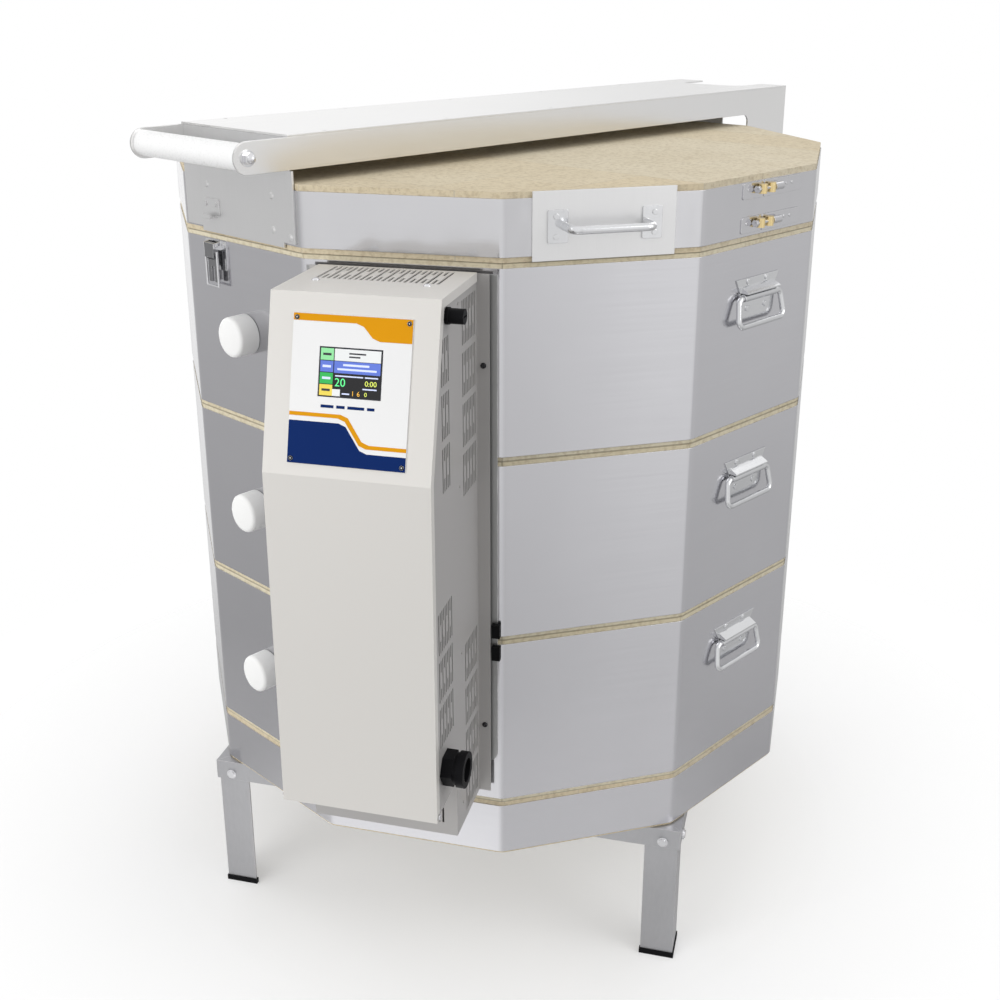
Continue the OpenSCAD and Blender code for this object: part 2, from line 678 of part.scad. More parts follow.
module control_chassis() color("darkgray") facet(control) {
    difference() {
        union() {
            for (s = [-1, 1]) translate([0, s > 0 ? chassis_half - box_t : -chassis_half, 0])
                plate_across(0, box_t, side_outline());
            block([chassis_n, -104, chassis_foot], [chassis_n + box_t, 104, slope_top - 2]);
            plate_across(-chassis_half, chassis_half, [
                [chassis_n, chassis_foot], [chassis_step, chassis_foot],
                [chassis_step, hinge_z - 4], [hinge_n - 8, hinge_z - 4],
                [hinge_n - 8, hinge_z - 4 + box_t], [chassis_step - box_t, hinge_z - 4 + box_t],
                [chassis_step - box_t, chassis_foot + box_t], [chassis_n, chassis_foot + box_t]
            ]);
        }
        for (g = [0 : 3]) slot_group(451, 5, joint_z - 51.2 - 57.3 * g);
        for (g = [0 : 2]) slot_group(552, 3, joint_z - 75 - 57.6 * g);
        for (g = [0 : 3]) slot_group(451, 5, joint_z - 455.3 - 58.3 * g);
        for (g = [0 : 2]) slot_group(552, 5, joint_z - 368.4 - 57.4 * g);
        for (t = [-72, -67, 67, 72])
            translate([chassis_step, t, joint_z - 638]) cube([10, 2.4, 20], center = true);
        terminal_windows(chassis_n - 1, chassis_n + 3);
        rod_along(2.05, -200, 200, hinge_n, hinge_z, 24);
        rod_along(12.9, 60, 120, gland_n, gland_z);
        rod_along(fuse_r, 60, 120, fuse_n, fuse_z, 32);
    }
    for (s = [-1, 1]) for (z = [-113, -570])
        rod_out(2.4, chassis_n + box_t, chassis_n + box_t + 1.6, s * 97, joint_z + z, 24);
    for (z = [-26.5, -230, -434, -634]) rod_along(1.8, chassis_half, chassis_half + 0.8, 514, joint_z + z, 24);
}

// Door: top, sloped front and upright front in one sheet with folded side flanges
function door_profile(d0, d1) = [
    [door_back, slope_top - d0], door_top_edge(d0), door_fold(d0), [door_reach - d0, door_foot],
    [door_reach - d1, door_foot], door_fold(d1), door_top_edge(d1), [door_back, slope_top - d1]
];
slot_first = -67;
slot_pitch = 12.2;
lid_screws = [-64, 59];
screw_reach = 522;
module control_door() color("linen") facet(control) difference() {
    union() {
        plate_across(-door_half, door_half, door_profile(0, box_t));
        for (s = [-1, 1]) translate([0, s > 0 ? door_half - box_t : -door_half, 0])
            plate_across(0, box_t, door_profile(0, 10));
    }
    for (i = [0 : 11]) {
        t = slot_first + slot_pitch * i;
        block([451, t - 1.6, slope_top - 5], [512, t + 1.6, slope_top + 5]);
        if (i < 11) for (n = [[451, 471], [491, 511]])
            block([n[0], t + 4.5, slope_top - 5], [n[1], t + 7.7, slope_top + 5]);
    }
    on_slope() {
        block([-9, -36, -107], [5, 36, -52]);
        for (t = [-60, 60]) for (z = [-26, -170.4]) rod_out(1.8, -5, 5, t, z, 24);
    }
    rod_along(2.05, -200, 200, hinge_n, hinge_z, 24);
    for (t = lid_screws) translate([screw_reach, t, slope_top - 5]) cylinder(r = 2.6, h = 10, $fn = 24);
}

// Round-headed screws in the top of the door
module door_screws() color("gainsboro") facet(control) for (t = lid_screws) translate([screw_reach, t, slope_top]) {
    cylinder(r1 = 4.6, r2 = 3.9, h = 1.1, $fn = 32);
    translate([0, 0, 1.1]) cylinder(r1 = 3.9, r2 = 2, h = 1.1, $fn = 32);
    translate([0, 0, -8]) cylinder(r = 2.5, h = 8, $fn = 24);
}

// Round piece on the door hinge's line, between two distances from the middle
module span(r, s, t0, t1) rod_along(r, s > 0 ? t0 : -t1, s > 0 ? t1 : -t0, hinge_n, hinge_z, 24);

module door_pins() color("silver") facet(control) {
    for (s = [-1, 1]) {
        span(2, s, chassis_half - 5, door_half + 0.4);
        span(3.5, s, door_half + 0.4, door_half + 1.8);
        span(3.5, s, chassis_half - 5, chassis_half - box_t - 0.4);
    }
}

// Printed plate on the slope, with the window of the screen and four screws
module face_plate() color("white") facet(control) on_slope() {
    difference() {
        block([0, -64, -175.2], [1.5, 64, -21.5]);
        block([-1, -34, -105], [3, 34, -54]);
        for (t = [-60, 60]) for (z = [-26, -170.4]) rod_out(1.8, -5, 5, t, z, 24);
    }
    for (t = [-60, 60]) for (z = [-26, -170.4]) {
        rod_out(1.8, -3, 1.5, t, z, 24);
        rod_out(2.3, 1.5, 2.4, t, z, 24);
    }
}

// Screen in its window, with the circuit board that it is mounted on
module touch_screen() color("midnightblue") facet(control) on_slope() {
    block([-7, -33.8, -104.8], [1.2, 33.8, -54.2]);
    block([-14, -58, -165], [-12.4, 58, -35]);
    for (t = [-52, 52]) for (z = [-41, -159]) rod_out(3, -12.4, -1.5, t, z, 24);
    block([-12.4, -30, -100], [-7, 30, -60]);
    for (t = [-40, -14, 12]) block([-26, t, -155], [-14, t + 20, -138]);
    block([-22, -48, -80], [-14, -20, -50]);
}

// Relays, terminal strip, transformer and their supports on the chassis wall
module power_parts() color("ivory") facet(control) {
    n0 = chassis_n + box_t;
    for (i = [0 : 2]) for (s = [-1, 1])
        block([n0, s > 0 ? 50 : -82, section_mid(i) - 26], [n0 + 36, s > 0 ? 82 : -50, section_mid(i) + 26]);
    block([n0, -60, chassis_foot + 3], [n0 + 30, 40, chassis_foot + 23]);
    for (t = [-50 : 16 : 30]) rod_out(4, n0 + 30, n0 + 32, t, chassis_foot + 13, 24);
    block([n0, 48, joint_z - 520], [n0 + 42, 84, joint_z - 470]);
}

gland_n = 586;
gland_z = joint_z - 539;
gland_r = 20.5;
fuse_n = 557;
fuse_z = joint_z - 29;
fuse_r = 6;

// Screwed cap of the fuse holder, with its knurled rim and coin slot
module fuse_cap() color("black") facet(control) difference() {
    union() {
        rod_along(fuse_r - 0.1, chassis_half - 14, chassis_half + 0.3, fuse_n, fuse_z, 32);
        rod_along(9, chassis_half + 0.3, chassis_half + 4, fuse_n, fuse_z, 40);
        rod_along(8, chassis_half + 4, chassis_half + 20, fuse_n, fuse_z, 40);
    }
    block([fuse_n - 6, chassis_half + 18, fuse_z - 1], [fuse_n + 6, chassis_half + 21, fuse_z + 1]);
}

// Two-part plug for the sections' leads, on the shield beside the back wall's flange
module jumper_plug() color("black") facet(control)
    for (z = [[-481.5, -463], [-451.5, -434]])
        block([jacket_ap + 1, 105, joint_z + z[0]], [jacket_ap + 7, 115, joint_z + z[1]]);

module cable_gland() color("black") facet(control) difference() {
    union() {
        rod_along(gland_r, chassis_half, chassis_half + 13, gland_n, gland_z, 6);
        rod_along(18, chassis_half + 13, chassis_half + 17, gland_n, gland_z, 48);
        rod_along(gland_r, chassis_half + 17, chassis_half + 26, gland_n, gland_z, 48);
        rod_along(12.9, chassis_half - 9, chassis_half, gland_n, gland_z, 48);
        rod_along(18, chassis_half - 8, chassis_half - box_t, gland_n, gland_z, 6);
    }
    rod_along(9, chassis_half - 20, chassis_half + 40, gland_n, gland_z, 48);
    rod_along(13.5, chassis_half + 20, chassis_half + 40, gland_n, gland_z, 48);
}

long_rails();
cross_rails();
legs();
foot_caps();
stand_bolts();
floor_slab();
floor_band();
lower_bricks();
middle_bricks();
upper_bricks();
lower_jacket();
middle_jacket();
upper_jacket();
element_holders();
heating_elements();
element_tails();
terminal_blocks();
thermocouples();
section_clamps();
section_clamp_barrels();
handle_plates();
bail_right_lower();
bail_right_middle();
bail_right_upper();
bail_left_lower();
bail_left_middle();
bail_left_upper();
plug_lower();
plug_middle();
plug_upper();
latch_base();
latch_lever();
latch_loop();
latch_catch();
lid_slab();
lid_band();
lid_front_plate();
lid_rear_plate();
lid_side_plate();
lid_side_handle();
lid_clamps();
lid_clamp_barrels();
arm_cheeks();
arm_cover();
lift_handle();
handle_rod();
hinge_base();
hinge_rod();
lid_springs();
heat_shield();
control_chassis();
control_door();
door_pins();
face_plate();
touch_screen();
door_screws();
power_parts();
fuse_cap();
jumper_plug();
cable_gland();
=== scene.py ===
"""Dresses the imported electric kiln: its finishes, wound elements, springs, panel, light and camera."""
import logging
import math
from dataclasses import dataclass, field
from enum import Enum
from typing import Callable, Iterable, Sequence

import bpy
from bpy.types import Material, Node, NodeSocket, NodeTree, Object
from mathutils import Matrix, Vector


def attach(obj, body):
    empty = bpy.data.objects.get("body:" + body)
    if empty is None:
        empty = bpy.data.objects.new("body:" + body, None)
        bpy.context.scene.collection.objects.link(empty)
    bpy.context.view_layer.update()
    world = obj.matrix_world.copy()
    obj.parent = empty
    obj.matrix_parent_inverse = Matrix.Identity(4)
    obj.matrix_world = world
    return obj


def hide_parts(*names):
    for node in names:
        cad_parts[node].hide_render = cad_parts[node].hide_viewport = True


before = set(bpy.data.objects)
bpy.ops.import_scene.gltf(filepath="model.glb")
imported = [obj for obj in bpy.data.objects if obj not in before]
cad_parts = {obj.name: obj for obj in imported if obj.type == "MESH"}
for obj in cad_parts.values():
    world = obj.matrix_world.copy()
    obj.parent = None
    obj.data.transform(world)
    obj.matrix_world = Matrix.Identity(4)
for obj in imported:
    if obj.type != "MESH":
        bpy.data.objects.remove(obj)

LOG = logging.getLogger("kiln")
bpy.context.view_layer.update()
Colour = tuple[float, float, float]

# Height of the floor slab's top and of one brick section, and the joint under the lid
FLOOR_TOP = 0.2822
SECTION_HEIGHT = 0.2286
SECTIONS = ("lower", "middle", "upper")
LID_JOINT = FLOOR_TOP + len(SECTIONS) * SECTION_HEIGHT


def srgb(red: int, green: int, blue: int) -> Colour:
    """Turns a screen colour into the linear colour that a shader takes.

    Args:
        red: Red from 0 to 255.
        green: Green from 0 to 255.
        blue: Blue from 0 to 255.

    Returns:
        The linear red, green and blue.
    """
    def one(value: int) -> float:
        """Linear value of one channel."""
        part = value / 255
        return part / 12.92 if part <= 0.04045 else ((part + 0.055) / 1.055) ** 2.4
    return one(red), one(green), one(blue)


class Facet(Enum):
    """Outward directions of two of the body's flats, in degrees about the axis."""

    FRONT = -90
    CONTROL = -60

    def matrix(self) -> Matrix:
        """Matrix from the facet's frame (outward, along, up) to the row frame."""
        return Matrix.Rotation(math.radians(self.value), 4, "Z")


class Effect(Enum):
    """Shader node groups that several finishes share."""

    EDGES = "kiln_edges"
    GRAIN = "kiln_grain"
    CLOUD = "kiln_cloud"
    PORES = "kiln_pores"
    BRICK_TINT = "kiln_brick_tint"


# Tools of the bench: selecting, shaping and placing meshes by hand


class Bench:
    """Operators as a maker uses them, each on a clean selection."""

    @staticmethod
    def clear() -> None:
        """Leaves object mode with nothing selected."""
        if bpy.context.object and bpy.context.object.mode != "OBJECT":
            bpy.ops.object.mode_set(mode="OBJECT")
        bpy.ops.object.select_all(action="DESELECT")

    @staticmethod
    def pick(*objects: Object) -> None:
        """Selects some objects and makes the first one active."""
        Bench.clear()
        for item in objects:
            item.select_set(True)
        bpy.context.view_layer.objects.active = objects[0]

    @staticmethod
    def settle(item: Object) -> Object:
        """Puts an object's place into its mesh.

        Args:
            item: The object to settle.

        Returns:
            The same object, at the origin.
        """
        Bench.pick(item)
        bpy.ops.object.transform_apply(location=True, rotation=True, scale=True)
        return item

    @staticmethod
    def move(item: Object, place: Matrix) -> Object:
        """Moves a settled mesh by a matrix.

        Args:
            item: The settled object.
            place: The matrix that takes the mesh to its place.

        Returns:
            The same object, still at the origin.
        """
        item.matrix_world = place
        return Bench.settle(item)

    @staticmethod
    def apply(item: Object) -> Object:
        """Applies every modifier of an object in order."""
        Bench.pick(item)
        for modifier in list(item.modifiers):
            bpy.ops.object.modifier_apply(modifier=modifier.name)
        return item

    @staticmethod
    def join(items: Sequence[Object], name: str) -> Object:
        """Joins objects into one piece.

        Args:
            items: The objects to join.
            name: Name of the piece.

        Returns:
            The joined object.
        """
        Bench.pick(*items)
        if len(items) > 1:
            bpy.ops.object.join()
        whole = bpy.context.view_layer.objects.active
        whole.name = name
        whole.data.name = name
        return whole

    @staticmethod
    def copy(item: Object) -> Object:
        """Copies an object with a mesh of its own."""
        twin = item.copy()
        twin.data = item.data.copy()
        bpy.context.scene.collection.objects.link(twin)
        return twin

    @staticmethod
    def outward(item: Object) -> Object:
        """Merges doubles and turns all faces outwards."""
        Bench.pick(item)
        bpy.ops.object.mode_set(mode="EDIT")
        bpy.ops.mesh.select_all(action="SELECT")
        bpy.ops.mesh.remove_doubles(threshold=1e-6)
        bpy.ops.mesh.normals_make_consistent(inside=False)
        bpy.ops.object.mode_set(mode="OBJECT")
        return item

    @staticmethod
    def smooth(item: Object, angle: float = 35.0) -> Object:
        """Shades a mesh smooth up to an angle in degrees."""
        Bench.pick(item)
        bpy.ops.object.shade_smooth_by_angle(angle=math.radians(angle))
        return item

    @staticmethod
    def sketch(points: Sequence[Sequence[float]], links: Sequence[tuple[int, int]],
               faces: Sequence[list[int]]) -> Object:
        """Draws an outline and opens it in edit mode with everything selected.

        Args:
            points: Its corners.
            links: Its edges, where it has no face.
            faces: Its faces.

        Returns:
            The object in edit mode.
        """
        mesh = bpy.data.meshes.new("sketch")
        mesh.from_pydata(points, links, faces)
        item = bpy.data.objects.new("sketch", mesh)
        bpy.context.scene.collection.objects.link(item)
        Bench.pick(item)
        bpy.ops.object.mode_set(mode="EDIT")
        bpy.ops.mesh.select_all(action="SELECT")
        return item

    @staticmethod
    def turned(profile: Sequence[tuple[float, float]], steps: int = 40) -> Object:
        """Turns a profile about the local x axis, as on a lathe.

        Args:
            profile: Points as (distance along x, radius), from one pole to the other.
            steps: Steps round the axis.

        Returns:
            The turned object, closed at both poles.
        """
        links = [(index, index + 1) for index in range(len(profile) - 1)]
        item = Bench.sketch([(x, 0.0, radius) for x, radius in profile], links, [])
        bpy.ops.mesh.spin(steps=steps, angle=math.tau, center=(0, 0, 0), axis=(1, 0, 0))
        bpy.ops.object.mode_set(mode="OBJECT")
        return Bench.smooth(Bench.outward(item))

    @staticmethod
    def coil(wire: float, radius: float, pitch: float, turns: int, sides: int, steps: int) -> Object:
        """Winds a wire round the local z axis.

        Args:
            wire: Radius of the wire.
            radius: Radius of the coil to the wire's centre.
            pitch: Rise of one turn.
            turns: Number of turns.
            sides: Sides of the wire.
            steps: Steps of one turn.

        Returns:
            The coil, centred on the origin, with closed ends.
        """
        Bench.clear()
        start = (radius, 0, -pitch * turns / 2)
        bpy.ops.mesh.primitive_circle_add(
            vertices=sides, radius=wire, location=start, rotation=(math.pi / 2, 0, 0))
        item = Bench.settle(bpy.context.object)
        wind = item.modifiers.new("Wind", "SCREW")
        wind.axis = "Z"
        wind.screw_offset = pitch
        wind.iterations = turns
        wind.steps = steps
        wind.render_steps = steps
        Bench.apply(item)
        bpy.ops.object.mode_set(mode="EDIT")
        bpy.ops.mesh.select_all(action="SELECT")
        bpy.ops.mesh.remove_doubles(threshold=1e-6)
        bpy.ops.mesh.select_all(action="DESELECT")
        bpy.ops.mesh.select_mode(type="EDGE")
        bpy.ops.mesh.select_non_manifold()
        bpy.ops.mesh.fill_holes(sides=0)
        bpy.ops.object.mode_set(mode="OBJECT")
        return Bench.smooth(Bench.outward(item), 60)


# Node groups and finishes


class Tree:
    """A node tree with short calls for adding and linking nodes."""

    def __init__(self, tree: NodeTree) -> None:
        """Takes the tree that the calls work on."""
        self.tree = tree

    def add(self, kind: str, **values: object) -> Node:
        """Adds a node, sets its properties and inputs, and links given sockets.

        Args:
            kind: Node type without its prefix.
            values: Properties or inputs by name, with spaces as underscores.

        Returns:
            The new node.
        """
        node = self.tree.nodes.new("ShaderNode" + kind)
        for key, value in values.items():
            name = key.replace("_", " ")
            if key.startswith("in"):
                self.put(node.inputs[int(key[2:])], value)
            elif hasattr(node, key):
                setattr(node, key, value)
            else:
                self.put(node.inputs[name], value)
        return node

    def put(self, socket: NodeSocket, value: object) -> None:
        """Links a socket, or a node's first output, to an input, or sets the input's value."""
        if isinstance(value, Node):
            value = value.outputs[0]
        if isinstance(value, NodeSocket):
            self.tree.links.new(value, socket)
        elif isinstance(value, tuple) and len(value) == 3 and socket.type == "RGBA":
            socket.default_value = (*value, 1.0)
        else:
            socket.default_value = value

    def math(self, operation: str, first: object, second: object = 0.0, clamp: bool = False) -> NodeSocket:
        """Adds a Math node and gives its output."""
        node = self.add("Math", operation=operation, use_clamp=clamp, in0=first)
        if operation not in ("FLOOR", "FRACT", "SINE", "ABSOLUTE"):
            self.put(node.inputs[1], second)
        return node.outputs[0]

    def blend(self, share: object, first: object, second: object, mode: str = "MIX") -> NodeSocket:
        """Mixes two colours and gives the result."""
        node = self.tree.nodes.new("ShaderNodeMix")
        node.data_type = "RGBA"
        node.blend_type = mode
        self.put(node.inputs[0], share)
        self.put(node.inputs[6], first)
        self.put(node.inputs[7], second)
        return node.outputs[2]

    def span(self, value: object, low: float, high: float, to_low: float, to_high: float) -> NodeSocket:
        """Maps a value from one range to another, with its ends held."""
        node = self.add("MapRange", Value=value, From_Min=low, From_Max=high, To_Min=to_low, To_Max=to_high)
        return node.outputs[0]

    def noise(self, vector: object, scale: float, detail: float = 3.0, rough: float = 0.55) -> NodeSocket:
        """Adds noise and gives its grey output."""
        node = self.add("TexNoise", Vector=vector, Scale=scale, Detail=detail, Roughness=rough)
        return node.outputs[0]

    def ramp(self, value: object, stops: Sequence[tuple[float, float]]) -> NodeSocket:
        """Reads a grey from a ramp.

        Args:
            value: Where to read, from 0 to 1.
            stops: Places and their greys, in order.

        Returns:
            The grey output.
        """
        node = self.add("ValToRGB", Fac=value)
        elements = node.color_ramp.elements
        while len(elements) < len(stops):
            elements.new(1.0)
        for element, (place, grey) in zip(elements, stops):
            element.position = place
            element.color = (grey, grey, grey, 1.0)
        return node.outputs[0]

    def stretch(self, vector: object, scale: Sequence[float],
                turn: Sequence[float] = (0, 0, 0)) -> NodeSocket:
        """Scales and turns coordinates and gives them."""
        node = self.add("Mapping", Vector=vector)
        node.inputs["Scale"].default_value = scale
        node.inputs["Rotation"].default_value = turn
        return node.outputs[0]

    def relief(self, shader: Node, strength: float, distance: float, height: object,
               normal: object) -> None:
        """Gives a shader a bump over a normal."""
        bump = self.add("Bump", Strength=strength, Distance=distance, Height=height, Normal=normal)
        self.put(shader.inputs["Normal"], bump)


class EffectShelf:
    """Builds each shared node group once and places it in finishes."""

    def __init__(self) -> None:
        """Starts with no group built."""
        makers = (self.make_edges, self.make_grain, self.make_cloud, self.make_pores, self.make_brick_tint)
        self.makers: dict[Effect, Callable[[], NodeTree]] = dict(zip(Effect, makers))

    def place(self, tree: Tree, effect: Effect, **values: object) -> Node:
        """Places a group in a tree.

        Args:
            tree: The tree to place it in.
            effect: Which group.
            values: The group's inputs by name.

        Returns:
            The group node.
        """
        group = bpy.data.node_groups.get(effect.value) or self.makers[effect]()
        node = tree.tree.nodes.new("ShaderNodeGroup")
        node.node_tree = group
        for key, value in values.items():
            tree.put(node.inputs[key], value)
        return node

    @staticmethod
    def start(effect: Effect, inputs: dict[str, tuple[str, object]],
              outputs: dict[str, str]) -> tuple[Tree, Node, Node]:
        """Starts a group with its sockets.

        Args:
            effect: Which group.
            inputs: Socket type and default by name.
            outputs: Socket type by name.

        Returns:
            The tree, its input node, whose first output is Vector, and its output node.
        """
        group = bpy.data.node_groups.new(effect.value, "ShaderNodeTree")
        for name, (kind, value) in inputs.items():
            socket = group.interface.new_socket(name=name, in_out="INPUT", socket_type="NodeSocket" + kind)
            if value is not None:
                socket.default_value = value
        for name, kind in outputs.items():
            group.interface.new_socket(name=name, in_out="OUTPUT", socket_type="NodeSocket" + kind)
        return Tree(group), group.nodes.new("NodeGroupInput"), group.nodes.new("NodeGroupOutput")

    def make_edges(self) -> NodeTree:
        """Rounded edge normal, and a mask of the worn edges."""
        tree, source, sink = self.start(
            Effect.EDGES, {"Vector": ("Vector", None), "Reach": ("Float", 0.001)},
            {"Normal": "Vector", "Wear": "Float"})
        bevel = tree.add("Bevel", samples=4, Radius=source.outputs["Reach"])
        flat = tree.add("NewGeometry")
        match = tree.add("VectorMath", operation="DOT_PRODUCT", in0=bevel, in1=flat.outputs["Normal"])
        edge = tree.span(match.outputs["Value"], 0.999, 0.93, 0.0, 1.0)
        patch = tree.span(tree.noise(source, 55, 4), 0.38, 0.62, 0.15, 1.0)
        tree.put(sink.inputs["Wear"], tree.math("MULTIPLY", edge, patch, True))
        tree.put(sink.inputs["Normal"], bevel)
        return tree.tree

    def make_grain(self) -> NodeTree:
        """Long fine scratches of a rolled or brushed sheet."""
        tree, source, sink = self.start(
            Effect.GRAIN, {"Vector": ("Vector", None), "Fine": ("Float", 700.0)}, {"Grain": "Float"})
        fine = tree.add("TexNoise", Vector=source, Scale=source.outputs["Fine"], Detail=2.0)
        wide = tree.math("MULTIPLY", source.outputs["Fine"], 0.13)
        bands = tree.add("TexNoise", Vector=source, Scale=wide, Detail=3.0)
        mixed = tree.math("ADD", tree.math("MULTIPLY", fine, 0.6), tree.math("MULTIPLY", bands, 0.4))
        tree.put(sink.inputs["Grain"], tree.span(mixed, 0.3, 0.7, 0.0, 1.0))
        return tree.tree

    def make_cloud(self) -> NodeTree:
        """Slow uneven tone, as handling and heat leave it."""
        tree, source, sink = self.start(
            Effect.CLOUD, {"Vector": ("Vector", None), "Size": ("Float", 5.0)}, {"Cloud": "Float"})
        slow = tree.add("TexNoise", Vector=source, Scale=source.outputs["Size"], Detail=5.0)
        tree.put(sink.inputs["Cloud"], tree.span(slow, 0.32, 0.68, 0.0, 1.0))
        return tree.tree

    def make_pores(self) -> NodeTree:
        """Open pores and grit of insulating brick, as a height and a dark mask."""
        tree, source, sink = self.start(
            Effect.PORES, {"Vector": ("Vector", None), "Size": ("Float", 420.0)},
            {"Height": "Float", "Dark": "Float"})
        cells = tree.add("TexVoronoi", Vector=source, Scale=source.outputs["Size"])
        grit = tree.noise(source, 900, 4, 0.7)
        holes = tree.span(cells.outputs["Distance"], 0.12, 0.34, 0.0, 1.0)
        kept = tree.span(tree.noise(source, 130, 3), 0.45, 0.62, 0.0, 1.0)
        open_pore = tree.math("MULTIPLY", tree.math("SUBTRACT", 1.0, holes), kept, True)
        tree.put(sink.inputs["Dark"], open_pore)
        tree.put(sink.inputs["Height"], tree.math("SUBTRACT", tree.math("MULTIPLY", grit, 0.5), open_pore))
        return tree.tree

    def make_brick_tint(self) -> NodeTree:
        """A value of its own for each facet brick of each course."""
        tree, source, sink = self.start(
            Effect.BRICK_TINT,
            {"Vector": ("Vector", None), "Base": ("Float", 0.0), "Course": ("Float", SECTION_HEIGHT / 2)},
            {"Tint": "Float"})
        parts = tree.add("SeparateXYZ", Vector=source)
        turn = tree.math("ARCTAN2", parts.outputs[1], parts.outputs[0])
        turned = tree.math("ADD", turn, math.radians(15))
        index = tree.math("FLOOR", tree.math("DIVIDE", turned, math.radians(30)))
        height = tree.math("DIVIDE", tree.math("SUBTRACT", parts.outputs[2], source.outputs["Base"]),
                           source.outputs["Course"])
        course = tree.math("FLOOR", height)
        seed = tree.add("CombineXYZ", X=index, Y=course)
        chance = tree.add("TexWhiteNoise", Vector=seed)
        tree.put(sink.inputs["Tint"], chance.outputs["Value"])
        return tree.tree


EFFECTS = EffectShelf()

# Height of the fine relief on metal, paint and plastic
SKIN = 0.0002


@dataclass(frozen=True)
class Finish:
    """What every finish has: a name and a base colour."""

    name: str
    colour: Colour

    def make(self) -> Material:
        """Builds the material, or gives it if it is already built."""
        known = bpy.data.materials.get(self.name)
        if known:
            return known
        material = bpy.data.materials.new(self.name)
        material.use_nodes = True
        tree = Tree(material.node_tree)
        shader = material.node_tree.nodes["Principled BSDF"]
        where = tree.add("TexCoord").outputs["Object"]
        self.dress(tree, shader, where)
        return material

    def dress(self, tree: Tree, shader: Node, where: NodeSocket) -> None:
        """Feeds the shader from the object's coordinates."""
        raise NotImplementedError


@dataclass(frozen=True)
class SheetMetal(Finish):
    """Rolled, brushed or plated metal with grain, clouding and worn edges."""

    shade: float = 0.86
    rough: tuple[float, float] = (0.22, 0.34)
    grain: tuple[float, float, float] = (0.012, 0.012, 1.0)
    fine: float = 700.0
    bump: float = 0.05
    reach: float = 0.0008
    worn: Colour = (0.8, 0.8, 0.8)
    metallic: float = 1.0
    streak: float = 0.35
    wave: float = 0.0
    ripple: float = 9.0

    def dress(self, tree: Tree, shader: Node, where: NodeSocket) -> None:
        """Feeds colour, roughness and normal with grain, cloud and edge wear."""
        edges = EFFECTS.place(tree, Effect.EDGES, Vector=where, Reach=self.reach)
        lines = EFFECTS.place(tree, Effect.GRAIN, Vector=tree.stretch(where, self.grain), Fine=self.fine)
        cloud = EFFECTS.place(tree, Effect.CLOUD, Vector=where, Size=4.0)
        dark = tuple(part * self.shade for part in self.colour)
        base = tree.blend(cloud, self.colour, dark)
        base = tree.blend(tree.math("MULTIPLY", lines, self.streak), base,
                          tuple(part * 0.9 for part in dark))
        tree.put(shader.inputs["Base Color"], tree.blend(edges.outputs["Wear"], base, self.worn))
        rough = tree.math("ADD", tree.math("MULTIPLY", lines, 0.6), tree.math("MULTIPLY", cloud, 0.4))
        tree.put(shader.inputs["Roughness"], tree.span(rough, 0.0, 1.0, *self.rough))
        shader.inputs["Metallic"].default_value = self.metallic
        normal = edges.outputs["Normal"]
        if self.wave:
            slow = tree.noise(tree.stretch(where, (1.0, 1.0, 0.6), (0.0, 0.5, 0.0)), self.ripple, 1.0)
            normal = tree.add("Bump", Strength=1.0, Distance=self.wave, Height=slow, Normal=normal).outputs[0]
        tree.relief(shader, self.bump, SKIN, lines, normal)


@dataclass(frozen=True)
class Coating(Finish):
    """Powder coat or paint with a faint orange peel and rubbed edges."""

    rough: tuple[float, float] = (0.50, 0.62)
    peel: float = 900.0
    bump: float = 0.10
    worn: Colour = (0.62, 0.60, 0.57)
    reach: float = 0.0014
    shine: float = 0.25

    def dress(self, tree: Tree, shader: Node, where: NodeSocket) -> None:
        """Feeds colour, roughness and normal with peel, cloud and edge wear."""
        edges = EFFECTS.place(tree, Effect.EDGES, Vector=where, Reach=self.reach)
        cloud = EFFECTS.place(tree, Effect.CLOUD, Vector=where, Size=6.0)
        peel = tree.noise(where, self.peel, 2)
        base = tree.blend(cloud, self.colour, tuple(part * 0.94 for part in self.colour))
        wear = tree.math("MULTIPLY", edges.outputs["Wear"], 0.55)
        tree.put(shader.inputs["Base Color"], tree.blend(wear, base, self.worn))
        tree.put(shader.inputs["Roughness"], tree.span(peel, 0.3, 0.7, *self.rough))
        shader.inputs["Specular IOR Level"].default_value = self.shine
        tree.relief(shader, self.bump, SKIN, peel, edges.outputs["Normal"])


@dataclass(frozen=True)
class Moulded(Finish):
    """Plastic, ceramic or rubber with fine texture and lighter rubbed edges."""

    rough: tuple[float, float] = (0.35, 0.5)
    texture: float = 600.0
    bump: float = 0.12
    speck: float = 0.08
    reach: float = 0.0008
    lift: float = 1.25
    shine: float = 0.5

    def dress(self, tree: Tree, shader: Node, where: NodeSocket) -> None:
        """Feeds colour, roughness and normal with fine texture and edge wear."""
        edges = EFFECTS.place(tree, Effect.EDGES, Vector=where, Reach=self.reach)
        cloud = EFFECTS.place(tree, Effect.CLOUD, Vector=where, Size=18.0)
        grit = tree.noise(where, self.texture, 4, 0.65)
        dim = tuple(part * (1 - self.speck) for part in self.colour)
        bright = tuple(min(1.0, part * self.lift + 0.01) for part in self.colour)
        base = tree.blend(tree.math("MULTIPLY", cloud, grit), self.colour, dim)
        tree.put(shader.inputs["Base Color"], tree.blend(edges.outputs["Wear"], base, bright))
        tree.put(shader.inputs["Roughness"], tree.span(grit, 0.3, 0.7, *self.rough))
        shader.inputs["Specular IOR Level"].default_value = self.shine
        tree.relief(shader, self.bump, SKIN, grit, edges.outputs["Normal"])


